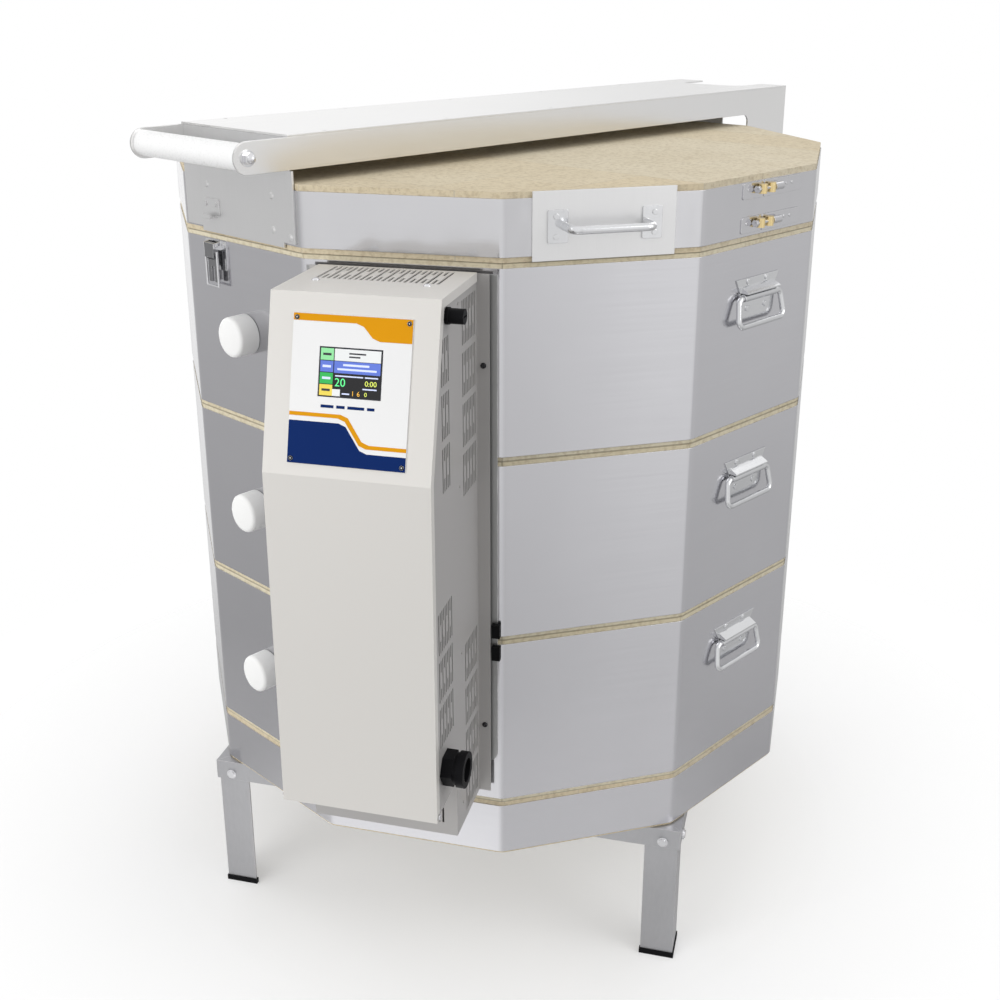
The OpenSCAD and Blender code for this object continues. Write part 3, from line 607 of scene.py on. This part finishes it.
@dataclass(frozen=True)
class Firebrick(Finish):
    """Porous insulating brick, laid in courses with painted shadow at the section seams, or as a jointed
    slab.
    """

    warm: Colour = (0.8, 0.6, 0.4)
    base_z: float = 0.0
    slab: bool = False
    # Colour of the joints; for the courses it is painted shadow in the seams between sections
    joint_colour_and_seam_shade: Colour = (0.50, 0.44, 0.34)
    speck: Colour = (0.36, 0.27, 0.15)
    specks: float = 0.35
    grain: float = 420.0

    def dress(self, tree: Tree, shader: Node, where: NodeSocket) -> None:
        """Feeds colour and normal with pores, brick tints and joints, whose dark colour is partly painted
        shadow.
        """
        pores = EFFECTS.place(tree, Effect.PORES, Vector=where, Size=self.grain)
        cloud = EFFECTS.place(tree, Effect.CLOUD, Vector=where, Size=11.0)
        if self.slab:
            laid = tree.add(
                "TexBrick", Vector=where, Scale=1.0, Mortar_Size=0.0006, Mortar_Smooth=0.4,
                Brick_Width=SECTION_HEIGHT, Row_Height=SECTION_HEIGHT / 2, Bias=0.0,
                Color1=(0.0, 0.0, 0.0), Color2=(1.0, 1.0, 1.0), Mortar=(0.0, 0.0, 0.0))
            laid.offset = 0.5
            tint, gap = laid.outputs[0], laid.outputs[1]
        else:
            tint = EFFECTS.place(tree, Effect.BRICK_TINT, Vector=where, Base=self.base_z).outputs[0]
            half = SECTION_HEIGHT / 2
            level = tree.math("SUBTRACT", tree.add("SeparateXYZ", Vector=where).outputs[2], self.base_z)
            away = tree.math("ABSOLUTE", tree.math("SUBTRACT", level, half))
            gap = tree.span(away, half - 0.0014, half - 0.0006, 0.0, 1.0)
        base = tree.blend(tree.math("MULTIPLY", tint, 0.75), self.colour, self.warm)
        base = tree.blend(tree.math("MULTIPLY", cloud, 0.3), base,
                          tuple(part * 0.84 for part in self.warm))
        mottle = tree.span(tree.noise(where, self.grain * 0.45, 3), 0.46, 0.66, 0.0, self.specks)
        base = tree.blend(mottle, base, self.speck)
        base = tree.blend(tree.math("MULTIPLY", pores.outputs["Dark"], self.specks), base,
                          tuple(part * 0.6 for part in self.speck))
        # Darkens the joints: in the courses this line is painted shadow in the seam between sections, on the
        # slab it draws the joint lines
        base = tree.blend(tree.math("MULTIPLY", gap, 0.55), base, self.joint_colour_and_seam_shade)
        height = tree.math("SUBTRACT", pores.outputs["Height"], tree.math("MULTIPLY", gap, 1.2))
        tree.put(shader.inputs["Base Color"], base)
        tree.put(shader.inputs["Roughness"], tree.span(pores.outputs["Height"], -1.0, 0.5, 0.98, 0.86))
        relief = tree.add("Bump", Strength=0.5, Distance=0.0005, Height=height)
        tree.put(shader.inputs["Normal"], relief)


@dataclass(frozen=True)
class Display(Finish):
    """Lit part of the screen, with its fine dot pattern."""

    glow: float = 0.55

    def dress(self, tree: Tree, shader: Node, where: NodeSocket) -> None:
        """Feeds colour and glow with a dot pattern and a slow fade."""
        dots = tree.noise(where, 2500, 1)
        fade = EFFECTS.place(tree, Effect.CLOUD, Vector=where, Size=30.0)
        base = tree.blend(tree.math("MULTIPLY", dots, 0.3), self.colour,
                          tuple(part * 0.7 for part in self.colour))
        base = tree.blend(tree.math("MULTIPLY", fade, 0.25), base,
                          tuple(part * 0.82 for part in self.colour))
        tree.put(shader.inputs["Base Color"], base)
        tree.put(shader.inputs["Emission Color"], base)
        shader.inputs["Emission Strength"].default_value = self.glow
        tree.put(shader.inputs["Roughness"], tree.span(dots, 0.3, 0.7, 0.12, 0.2))


STRIPE = srgb(230, 223, 202)
STRIPE_WARM = srgb(220, 207, 174)
EVEN = (1.0, 1.0, 1.0)
STAINLESS = SheetMetal("stainless_wrap", (0.638, 0.635, 0.660), rough=(0.13, 0.20), shade=0.95,
                       streak=0.16, bump=0.03, wave=0.0006, ripple=7.0)
LID_WRAP = SheetMetal("lid_wrap", (0.63, 0.627, 0.646), rough=(0.10, 0.16), shade=0.96, streak=0.10,
                      bump=0.02, wave=0.0009, ripple=26.0)
PLATE = SheetMetal("satin_plate", (0.755, 0.753, 0.755), rough=(0.32, 0.42), grain=(1.0, 1.0, 0.02),
                   fine=600, shade=0.96, streak=0.12, metallic=0.85, bump=0.03)
ARM_SHEET = SheetMetal("arm_sheet", (0.86, 0.855, 0.85), rough=(0.16, 0.24), grain=(1.0, 0.015, 1.0),
                       fine=650, shade=0.97, streak=0.10, bump=0.03)
ALUMINISED = SheetMetal("aluminised_steel", (0.50, 0.50, 0.515), rough=(0.38, 0.52),
                        grain=(1.0, 1.0, 0.3), fine=260, bump=0.08, shade=0.88, streak=0.2)
BRIGHT = SheetMetal("bright_zinc", (0.80, 0.80, 0.82), rough=(0.10, 0.2), grain=EVEN, fine=320, streak=0.2)
ROD = SheetMetal("plated_rod", (0.74, 0.745, 0.76), rough=(0.10, 0.18), grain=(1.0, 0.05, 1.0), fine=500,
                 streak=0.2)
DARK_STEEL = SheetMetal("dark_steel", (0.30, 0.30, 0.31), rough=(0.15, 0.28), grain=(1.0, 1.0, 0.2),
                        fine=400)
SCREW_BLACK = SheetMetal("black_screw", (0.03, 0.03, 0.032), rough=(0.3, 0.45), grain=EVEN, fine=300,
                         worn=(0.12, 0.12, 0.12))
HINGE_STEEL = SheetMetal("hinge_steel", (0.36, 0.365, 0.37), rough=(0.35, 0.5), grain=(1.0, 1.0, 0.3),
                         fine=300)
SPRING_STEEL = SheetMetal("spring_steel", (0.06, 0.06, 0.065), rough=(0.3, 0.42), grain=EVEN, fine=300,
                          worn=(0.3, 0.3, 0.3))
BRASS = SheetMetal("brass", (0.66, 0.49, 0.17), rough=(0.2, 0.32), grain=EVEN, fine=350,
                   worn=(0.9, 0.78, 0.45))
SHIELD = SheetMetal("heat_shield_sheet", (0.42, 0.422, 0.42), rough=(0.35, 0.5), grain=(1.0, 1.0, 0.02),
                    fine=500)
WIRE = SheetMetal("element_wire", (0.17, 0.15, 0.14), rough=(0.5, 0.65), grain=EVEN, fine=500,
                  worn=(0.3, 0.28, 0.26))
DOOR_PAINT = Coating("door_paint", srgb(213, 208, 200))
BOX_PAINT = Coating("box_paint", srgb(211, 206, 198))
BLACK = Moulded("black_plastic", (0.006, 0.006, 0.007), rough=(0.42, 0.55), lift=2.0, shine=0.07)
WHITE_TUBE = Moulded("white_tube", (0.95, 0.95, 0.95), rough=(0.24, 0.34), bump=0.03, speck=0.012, lift=1.03)
PLUG_WHITE = Moulded("plug_ceramic", (0.93, 0.925, 0.915), rough=(0.5, 0.66), texture=420, bump=0.2,
                     speck=0.06, lift=1.1)
CERAMIC = Moulded("ivory_ceramic", srgb(228, 220, 202), rough=(0.6, 0.75), texture=380, bump=0.3, speck=0.12)
RELAY_CASE = Moulded("relay_case", srgb(222, 216, 200), rough=(0.4, 0.55))
PRINT_WHITE = Moulded("print_white", srgb(244, 244, 244), rough=(0.3, 0.4), bump=0.04, speck=0.03, lift=1.05)
PRINT_NAVY = Moulded("print_navy", srgb(0, 38, 100), rough=(0.34, 0.44), bump=0.04, speck=0.08, shine=0.12)
PRINT_ORANGE = Moulded("print_orange", srgb(230, 158, 6), rough=(0.34, 0.44), bump=0.04, speck=0.05,
                       shine=0.15)
SCREEN_FRAME = Moulded("screen_frame", (0.03, 0.032, 0.045), rough=(0.16, 0.26), shine=0.3)
# The near-black joint colour of the courses paints the shadow in the seams between the sections
COURSES = {
    f"{place}_bricks": Firebrick(
        f"{place}_course_brick", STRIPE, STRIPE_WARM, base_z=FLOOR_TOP + row * SECTION_HEIGHT,
        joint_colour_and_seam_shade=(0.14, 0.11, 0.07), specks=0.3)
    for row, place in enumerate(SECTIONS)
}
SLAB = Firebrick("slab_brick", srgb(222, 212, 189), srgb(219, 203, 171), slab=True)


# The object's pieces


class Piece:
    """Names, dresses and hangs finished pieces on their bodies, and gives CAD nodes their finishes."""

    @staticmethod
    def finish(item: Object, name: str, finishes: Iterable[Finish], body: str, slot: str,
               stands_for: Sequence[str] = ()) -> Object:
        """Names, dresses and hangs a piece on its body.

        Args:
            item: The settled object.
            name: Name of the piece.
            finishes: Its finishes, in slot order.
            body: The body that it rides on.
            slot: The record's material slot; not used.
            stands_for: CAD nodes that it replaces.

        Returns:
            The finished piece.
        """
        item.name = name
        item.data.name = name
        for index, finish in enumerate(finishes):
            material = finish.make()
            if index < len(item.data.materials):
                item.data.materials[index] = material
            else:
                item.data.materials.append(material)
        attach(item, body)
        if stands_for:
            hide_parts(*stands_for)
        LOG.info("%s rides on %s, %d faces", name, body, len(item.data.polygons))
        return item

    @staticmethod
    def dress_nodes(*rows: Sequence[Finish | str]) -> None:
        """Gives CAD nodes their finishes.

        Args:
            rows: Each a finish and the names of its nodes.
        """
        for finish, *names in rows:
            for name in names:
                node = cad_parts[name]
                node.data.materials.clear()
                node.data.materials.append(finish.make())
                LOG.info("%s has the finish %s", name, finish.name)


@dataclass
class Stand:
    """Square angle-steel stand with black feet."""

    steel: tuple[str, ...] = ("long_rails", "cross_rails", "legs")

    def build(self) -> None:
        """Dresses the rails, legs, caps and bolts."""
        Piece.dress_nodes((ALUMINISED, *self.steel), (BLACK, "foot_caps"), (BRIGHT, "stand_bolts"))


@dataclass
class Body:
    """Floor slab and three ring sections with their heating parts."""

    element_reach: float = 0.366
    coil_radius: float = 0.0042
    wire: float = 0.0009
    pitch: float = 0.0075
    rows: tuple[float, ...] = tuple(
        FLOOR_TOP + SECTION_HEIGHT * (0.25 + 0.5 * index) for index in range(6))
    plugs: dict[str, float] = field(default_factory=lambda: {
        f"plug_{place}": FLOOR_TOP + SECTION_HEIGHT * (row + 0.5) for row, place in enumerate(SECTIONS)})

    def build(self) -> None:
        """Dresses the bricks and jackets and models what is wound or turned."""
        jackets = (f"{place}_jacket" for place in SECTIONS)
        bails = (f"bail_{side}_{place}" for side in ("right", "left") for place in SECTIONS)
        Piece.dress_nodes(
            *((finish, node) for node, finish in COURSES.items()), (SLAB, "floor_slab"),
            (STAINLESS, "floor_band", "section_clamps", *jackets),
            (CERAMIC, "element_holders", "terminal_blocks", "thermocouples"), (WIRE, "element_tails"),
            (BRASS, "section_clamp_barrels"), (ROD, "handle_plates", *bails))
        self.wind_elements()
        self.turn_plugs()

    def wind_elements(self) -> None:
        """Winds one straight coil and sets it in every groove."""
        side = 2 * self.element_reach * math.tan(math.radians(15))
        turns = round(side / self.pitch)
        first = Bench.coil(self.wire, self.coil_radius, side / turns, turns, 4, 8)
        Bench.move(first, Matrix.Rotation(math.radians(90), 4, "X"))
        coils = []
        for height in self.rows:
            for index in range(12):
                twin = Bench.copy(first)
                place = (Matrix.Rotation(math.radians(30 * index), 4, "Z")
                         @ Matrix.Translation((self.element_reach, 0, height)))
                coils.append(Bench.move(twin, place))
        bpy.data.objects.remove(first)
        Piece.finish(Bench.join(coils, "wound_elements"), "wound_elements", [WIRE], "root", "element_wire",
                     ["heating_elements"])

    def turn_plugs(self) -> None:
        """Turns the three peephole plugs with soft edges."""
        profile = [
            (0.3657, 0.0), (0.3657, 0.0172), (0.3672, 0.0187), (0.4338, 0.019), (0.4339, 0.0242),
            (0.4345, 0.0248), (0.4352, 0.025), (0.456, 0.0248), (0.4585, 0.0242), (0.4602, 0.0226),
            (0.4609, 0.020), (0.4609, 0.0),
        ]
        for name, height in self.plugs.items():
            plug = Bench.turned(profile, 56)
            Bench.move(plug, Facet.FRONT.matrix() @ Matrix.Translation((0, 0, height)))
            Piece.finish(plug, f"turned_{name}", [PLUG_WHITE], name, "plug_ceramic", [name])


@dataclass
class Lid:
    """Lid with its plates, lifting arm and hinge."""

    pivot: tuple[float, float] = (0.500, 0.963)
    spring_wire: float = 0.0024
    spring_radius: float = 0.0172

    def build(self) -> None:
        """Dresses the lid and winds the springs."""
        Piece.dress_nodes(
            (SLAB, "lid_slab"), (LID_WRAP, "lid_band", "lid_clamps"),
            (PLATE, "lid_front_plate", "lid_rear_plate", "lid_side_plate", "latch_catch"),
            (ARM_SHEET, "arm_cheeks", "arm_cover"), (BRIGHT, "handle_rod", "latch_base", "latch_loop"),
            (ROD, "lid_side_handle"), (BRASS, "lid_clamp_barrels"), (WHITE_TUBE, "lift_handle"),
            (DARK_STEEL, "latch_lever"), (HINGE_STEEL, "hinge_base", "hinge_rod"))
        self.wind_springs()

    def wind_springs(self) -> None:
        """Winds the two springs on the hinge rod."""
        coils = []
        for side in (-1, 1):
            coil = Bench.coil(self.spring_wire, self.spring_radius, 0.0053, 15, 10, 24)
            place = Matrix.Translation((side * 0.049, self.pivot[0], self.pivot[1]))
            coils.append(Bench.move(coil, place @ Matrix.Rotation(math.radians(90), 4, "Y")))
        Piece.finish(Bench.join(coils, "hinge_springs"), "hinge_springs", [SPRING_STEEL], "root",
                     "spring_steel", ["lid_springs"])


@dataclass
class ControlBox:
    """Side box with its sloped panel, screen and fittings."""

    slope_top: tuple[float, float] = (0.576, 0.960)
    slope: float = math.atan2(0.048, 0.182)

    def build(self) -> None:
        """Dresses the box and models the printed panel and screen."""
        Piece.dress_nodes(
            (SHIELD, "heat_shield"), (BOX_PAINT, "control_chassis"), (DOOR_PAINT, "control_door"),
            (BRIGHT, "door_pins", "door_screws"), (PRINT_WHITE, "face_plate"),
            (SCREEN_FRAME, "touch_screen"), (RELAY_CASE, "power_parts"),
            (BLACK, "fuse_cap", "jumper_plug", "cable_gland"))
        self.print_panel()
        self.set_flange_screws()
        self.light_screen()

    def on_slope(self) -> Matrix:
        """Matrix from the slope's frame (outward, along, up the slope) to the row frame."""
        return (Facet.CONTROL.matrix() @ Matrix.Translation((self.slope_top[0], 0, self.slope_top[1]))
                @ Matrix.Rotation(-self.slope, 4, "Y"))

    def flat_shape(self, outline: Sequence[tuple[float, float]], low: float, high: float) -> Object:
        """Models a thin printed shape on the slope.

        Args:
            outline: Corners as (along, distance down the slope), in millimetres.
            low: Inner face, in metres from the door's slope.
            high: Outer face.

        Returns:
            The settled shape.
        """
        points = [(low, along / 1000, -down / 1000) for along, down in outline]
        item = Bench.sketch(points, [], [list(range(len(points)))])
        bpy.ops.mesh.extrude_region_move(TRANSFORM_OT_translate={"value": (high - low, 0, 0)})
        bpy.ops.object.mode_set(mode="OBJECT")
        Bench.outward(item)
        return Bench.move(item, self.on_slope())

    def print_panel(self) -> None:
        """Lays the printed colour fields on the face plate and sets its dark screws."""
        face = 0.0015
        navy = [(-63.8, 131), (-10, 131), (-2, 134), (14, 157), (22, 160), (63.8, 160), (63.8, 175),
                (-63.8, 175)]
        orange = [(-63.8, 21.8), (63.8, 21.8), (63.8, 46), (30, 46), (22, 43), (12, 32), (4, 29), (-63.8, 29)]
        rule = [(-63.8, 122), (-8, 122), (0, 125), (16, 148), (24, 151), (63.8, 151), (63.8, 155), (21, 155),
                (13, 152), (-3, 129), (-11, 126), (-63.8, 126)]
        bars = [[(x, 113), (x + wide, 113), (x + wide, 116), (x, 116)]
                for x, wide in ((-30, 14), (-13, 9), (-1, 18), (20, 8))]
        fields = (("navy_print", [navy, *bars], PRINT_NAVY), ("orange_print", [orange, rule], PRINT_ORANGE))
        for name, shapes, finish in fields:
            parts = [self.flat_shape(shape, face - 0.0001, face + 0.00012) for shape in shapes]
            Piece.finish(Bench.join(parts, name), name, [finish], "control_door", "face_print")
        profile = [(-0.0004, 0.0), (-0.0004, 0.0026), (0.0004, 0.0026), (0.0010, 0.0021), (0.0013, 0.0012),
                   (0.0013, 0.0009), (0.0006, 0.0007), (0.0006, 0.0)]
        heads = []
        for along in (-60, 60):
            for down in (26, 170.4):
                head = Bench.turned(profile, 20)
                place = self.on_slope() @ Matrix.Translation((face, along / 1000, -down / 1000))
                heads.append(Bench.move(head, place))
        Piece.finish(Bench.join(heads, "panel_screws"), "panel_screws", [SCREW_BLACK], "control_door",
                     "face_print")

    def set_flange_screws(self) -> None:
        """Sets the black screws on the two flanges of the back wall."""
        profile = [(0.4425, 0.0), (0.4425, 0.0034), (0.4436, 0.0033), (0.4446, 0.0026), (0.4449, 0.0015),
                   (0.4449, 0.0011), (0.4441, 0.0009), (0.4441, 0.0)]
        heads = []
        for side in (-1, 1):
            for drop in (0.113, 0.570):
                place = Facet.CONTROL.matrix() @ Matrix.Translation((0, side * 0.097, LID_JOINT - drop))
                heads.append(Bench.move(Bench.turned(profile, 20), place))
        Piece.finish(Bench.join(heads, "flange_screws"), "flange_screws", [SCREW_BLACK], "root", "black_cap")

    def digits(self, text: str, along: float, down: float, size: float) -> Object:
        """Models a row of digits on the screen.

        Args:
            text: The digits.
            along: Left edge, in millimetres.
            down: Base line, as distance down the slope.
            size: Height of the letters' body.

        Returns:
            The settled digits.
        """
        Bench.clear()
        bpy.ops.object.text_add()
        item = bpy.context.object
        item.data.body = text
        item.data.size = size / 1000
        item.data.extrude = 0.00005
        item.data.resolution_u = 3
        bpy.ops.object.convert(target="MESH")
        item = bpy.context.object
        Bench.settle(item)
        upright = Matrix(((0, 0, 1, 0), (1, 0, 0, 0), (0, 1, 0, 0), (0, 0, 0, 1)))
        place = self.on_slope() @ Matrix.Translation((0.00145, along / 1000, -down / 1000)) @ upright
        return Bench.outward(Bench.move(item, place))

    def light_screen(self) -> None:
        """Lays the lit fields and digits of the screen on its glass."""
        glass = 0.0012
        fields = (
            ("screen_ground", "screen_black", (0.002, 0.002, 0.003), 0.1, [(-33, 55, 33, 104)]),
            ("screen_header", "screen_white", (0.80, 0.82, 0.82), 0.2,
             [(-17.5, 55.5, 32, 67.5), (-18.5, 96.5, -10, 103.5)]),
            ("screen_band", "screen_blue", (0.10, 0.17, 0.62), 0.3,
             [(-17.5, 68, 32, 80), (-32.5, 68.3, -18.5, 79.5)]),
            ("screen_green", "screen_green", (0.02, 0.42, 0.08), 0.3, [(-32.5, 80.3, -18.5, 91.5)]),
            ("screen_pale", "screen_pale_green", (0.26, 0.70, 0.32), 0.3, [(-32.5, 55.5, -18.5, 67.5)]),
            ("screen_yellow", "screen_yellow", (0.78, 0.62, 0.08), 0.3, [(-32.5, 92.3, -18.5, 103.5)]),
            ("screen_bars", "screen_light", (0.62, 0.68, 0.92), 0.4,
             [(-8, 70.5, 20, 72.6), (-14, 75, 28, 77), (-30, 72.6, -21, 75), (-30, 84.6, -21, 87),
              (-16, 82.3, 14, 83.6), (16, 82.3, 30, 83.6), (14, 94, 29, 95.3), (-8, 100, 0, 101.4)]),
            ("screen_marks", "screen_dark", (0.03, 0.03, 0.04), 0.1,
             [(-2, 59, 16, 60.6), (-2, 62.4, 10, 64), (-30, 60.4, -21, 62.8), (-30, 96.6, -21, 99)]),
        )
        heights = (0.0001, *(0.0002,) * 5, *(0.00026,) * 2)
        for (name, light, colour, glow, boxes), height in zip(fields, heights):
            parts = []
            for t0, s0, t1, s1 in boxes:
                outline = [(t0, s0), (t1, s0), (t1, s1), (t0, s1)]
                parts.append(self.flat_shape(outline, glass - 0.0002, glass + height))
            whole = Bench.join(parts, name)
            Piece.finish(whole, name, [Display(light, colour, glow)], "control_door", "screen")
        rows = (("green", (0.10, 0.80, 0.25), [("20", -16.5, 93.5, 12.0)]),
                ("yellow", (0.70, 0.80, 0.12), [("0:00", 16, 91.5, 7.5), ("0", 16, 102, 6.0)]),
                ("amber", (0.80, 0.42, 0.04), [("1", 2, 102.2, 7.0), ("6", 8, 102.2, 7.0)]))
        for tone, colour, texts in rows:
            row = Bench.join([self.digits(*text) for text in texts], f"{tone}_digits")
            Piece.finish(row, row.name, [Display(f"digit_{tone}", colour, 0.6)], "control_door", "screen")


# Room, light and camera


@dataclass(frozen=True)
class Studio:
    """Pale room with soft light and the photograph's viewpoint.

    The viewpoint is in degrees, metres and pixels. Each stop of room and ground has a direction in
    degrees about the object and the grey that polished metal sees there, in the room and on the floor.
    """

    azimuth: float = 44.50058
    distance: float = 1.830458
    height: float = 1.254401
    yaw: float = 0.332388
    pitch: float = 19.626548
    roll: float = 0.137652
    focal_pixels: float = 1293.759
    picture_side: int = 1000
    sensor: float = 36.0
    centre: tuple[float, float] = (491.559, 443.918)
    lift: float = 0.34
    sky: tuple[float, float] = (0.26, 0.95)
    room: tuple[tuple[float, float], ...] = (
        (-180, 0.66), (-150, 0.60), (-130, 0.62), (-100, 0.88), (-80, 0.98), (-50, 1.0), (-22, 0.84),
        (-13, 0.84), (-7, 1.06), (12, 0.98), (28, 0.72), (42, 0.78), (60, 0.70), (80, 0.66), (110, 0.66),
        (125, 0.78), (136, 0.96), (150, 1.04), (168, 0.9))
    ground: tuple[tuple[float, float], ...] = (
        (-180, 0.10), (-122, 0.08), (-95, 0.50), (-82, 0.95), (-58, 0.95), (-42, 0.34), (-20, 0.30),
        (8, 0.18), (30, 0.0), (70, 0.06), (180, 0.10))

    def build(self) -> None:
        """Makes the floor, the lights, the world and the camera."""
        self.make_floor()
        self.make_world()
        self.make_lights()
        self.make_camera()
        view = bpy.context.scene.view_settings
        view.view_transform = "Standard"

    @staticmethod
    def around(tree: Tree, way: Node, stops: Sequence[tuple[float, float]]) -> NodeSocket:
        """Reads a grey by the direction of a point about the object.

        Args:
            tree: The tree to work in.
            way: Node that gives the point's x and y.
            stops: Directions in degrees and their greys.

        Returns:
            The grey output.
        """
        turn = tree.math("ARCTAN2", way.outputs[1], way.outputs[0])
        place = tree.span(turn, -math.pi, math.pi, 0.0, 1.0)
        return tree.ramp(place, [((degrees + 180) / 360, grey) for degrees, grey in stops])

    def make_floor(self) -> None:
        """Makes a white floor that fades into the white room and has greys of its own in mirrors."""
        Bench.clear()
        bpy.ops.mesh.primitive_circle_add(vertices=96, radius=2.4, fill_type="NGON", location=(0, 0, 0))
        floor = bpy.context.object
        floor.name = "studio_floor"
        material = bpy.data.materials.new("studio_floor")
        material.use_nodes = True
        tree = Tree(material.node_tree)
        shader = material.node_tree.nodes["Principled BSDF"]
        path = tree.add("LightPath")
        direct = path.outputs["Is Camera Ray"]
        tree.put(shader.inputs["Base Color"], tree.blend(direct, (0.50, 0.50, 0.50), (0.66, 0.66, 0.66)))
        shader.inputs["Emission Color"].default_value = (1.0, 1.0, 1.0, 1.0)
        place = tree.add("TexCoord").outputs["Object"]
        point = tree.add("SeparateXYZ", Vector=place)
        mirrored = tree.math("MULTIPLY", path.outputs["Is Glossy Ray"], self.around(tree, point, self.ground))
        lifted = tree.math("MULTIPLY", direct, self.lift)
        tree.put(shader.inputs["Emission Strength"], tree.math("MAXIMUM", lifted, mirrored))
        reach = tree.add("VectorMath", operation="LENGTH", in0=place).outputs["Value"]
        tree.put(shader.inputs["Alpha"], tree.span(reach, 0.50, 1.15, 1.0, 0.0))
        shader.inputs["Roughness"].default_value = 0.9
        shader.inputs["Specular IOR Level"].default_value = 0.0
        floor.data.materials.append(material)

    def make_world(self) -> None:
        """Makes a room that is white behind the object and shaded beside the camera."""
        world = bpy.data.worlds.new("studio")
        bpy.context.scene.world = world
        world.use_nodes = True
        tree = Tree(world.node_tree)
        ground = world.node_tree.nodes["Background"]
        way = tree.add("SeparateXYZ", Vector=tree.add("TexCoord").outputs["Generated"])
        low = tree.span(way.outputs[2], -0.60, -0.18, 0.66, 1.0)
        shaded = tree.blend(1.0, self.around(tree, way, self.room), low, "MULTIPLY")
        room = tree.blend(tree.span(way.outputs[2], 0.25, 0.7, 0.0, 1.0), shaded, (1.0, 1.0, 1.0))
        soft = tree.span(way.outputs[2], 0.0, 1.0, *self.sky)
        path = tree.add("LightPath")
        seen = tree.math("MAXIMUM", path.outputs["Is Camera Ray"], path.outputs["Is Transmission Ray"])
        lit = tree.blend(path.outputs["Is Diffuse Ray"], room, soft)
        tree.put(ground.inputs["Color"], tree.blend(seen, lit, (1.0, 1.0, 1.0)))

    def make_lights(self) -> None:
        """Hangs soft lamps round the object, of which the key and fill lamps don't show in mirrors."""
        lamps = (
            ("key_lamp", (0.1, -3.7, 0.9), 2.2, 58.0),
            ("side_lamp", (2.9, 0.7, 2.1), 2.0, 28.0),
            ("fill_lamp", (-3.0, -1.6, 1.0), 2.0, 26.0),
            ("spark_lamp", (-0.9, -2.6, 2.6), 0.5, 3.0),
            ("back_lamp", (-0.8, 3.2, 3.0), 2.4, 14.0),
        )
        for name, place, size, power in lamps:
            data = bpy.data.lights.new(name, "AREA")
            data.size = size
            data.energy = power
            lamp = bpy.data.objects.new(name, data)
            bpy.context.scene.collection.objects.link(lamp)
            lamp.location = place
            lamp.visible_glossy = name not in ("key_lamp", "fill_lamp")
            aim = Vector((0, 0, 0.6)) - Vector(place)
            lamp.rotation_euler = aim.to_track_quat("-Z", "Y").to_euler()

    def make_camera(self) -> None:
        """Sets the camera where the photograph was taken."""
        turn = math.radians(self.azimuth)
        look = turn + math.radians(self.yaw)
        dip = math.radians(self.pitch)
        forward = Vector((-math.sin(look) * math.cos(dip), math.cos(look) * math.cos(dip), -math.sin(dip)))
        right = Vector((math.cos(look), math.sin(look), 0))
        down = forward.cross(right)
        tilt = math.radians(self.roll)
        across = math.cos(tilt) * right + math.sin(tilt) * down
        under = -math.sin(tilt) * right + math.cos(tilt) * down
        place = Vector((math.sin(turn) * self.distance, -math.cos(turn) * self.distance, self.height))
        data = bpy.data.cameras.new("photo_camera")
        data.sensor_width = self.sensor
        data.lens = self.focal_pixels / self.picture_side * self.sensor
        data.shift_x = 0.5 - self.centre[0] / self.picture_side
        data.shift_y = self.centre[1] / self.picture_side - 0.5
        data.clip_start = 0.05
        data.clip_end = 100
        camera = bpy.data.objects.new("photo_camera", data)
        bpy.context.scene.collection.objects.link(camera)
        axes = Matrix((across, -under, -forward)).transposed().to_4x4()
        camera.matrix_world = Matrix.Translation(place) @ axes
        bpy.context.scene.camera = camera


def main() -> None:
    """Builds the object's sub-assemblies in order, then the room."""
    logging.basicConfig(level=logging.INFO, format="%(name)s: %(message)s")
    for part in (Stand(), Body(), Lid(), ControlBox(), Studio()):
        part.build()


if __name__ == "__main__":
    main()
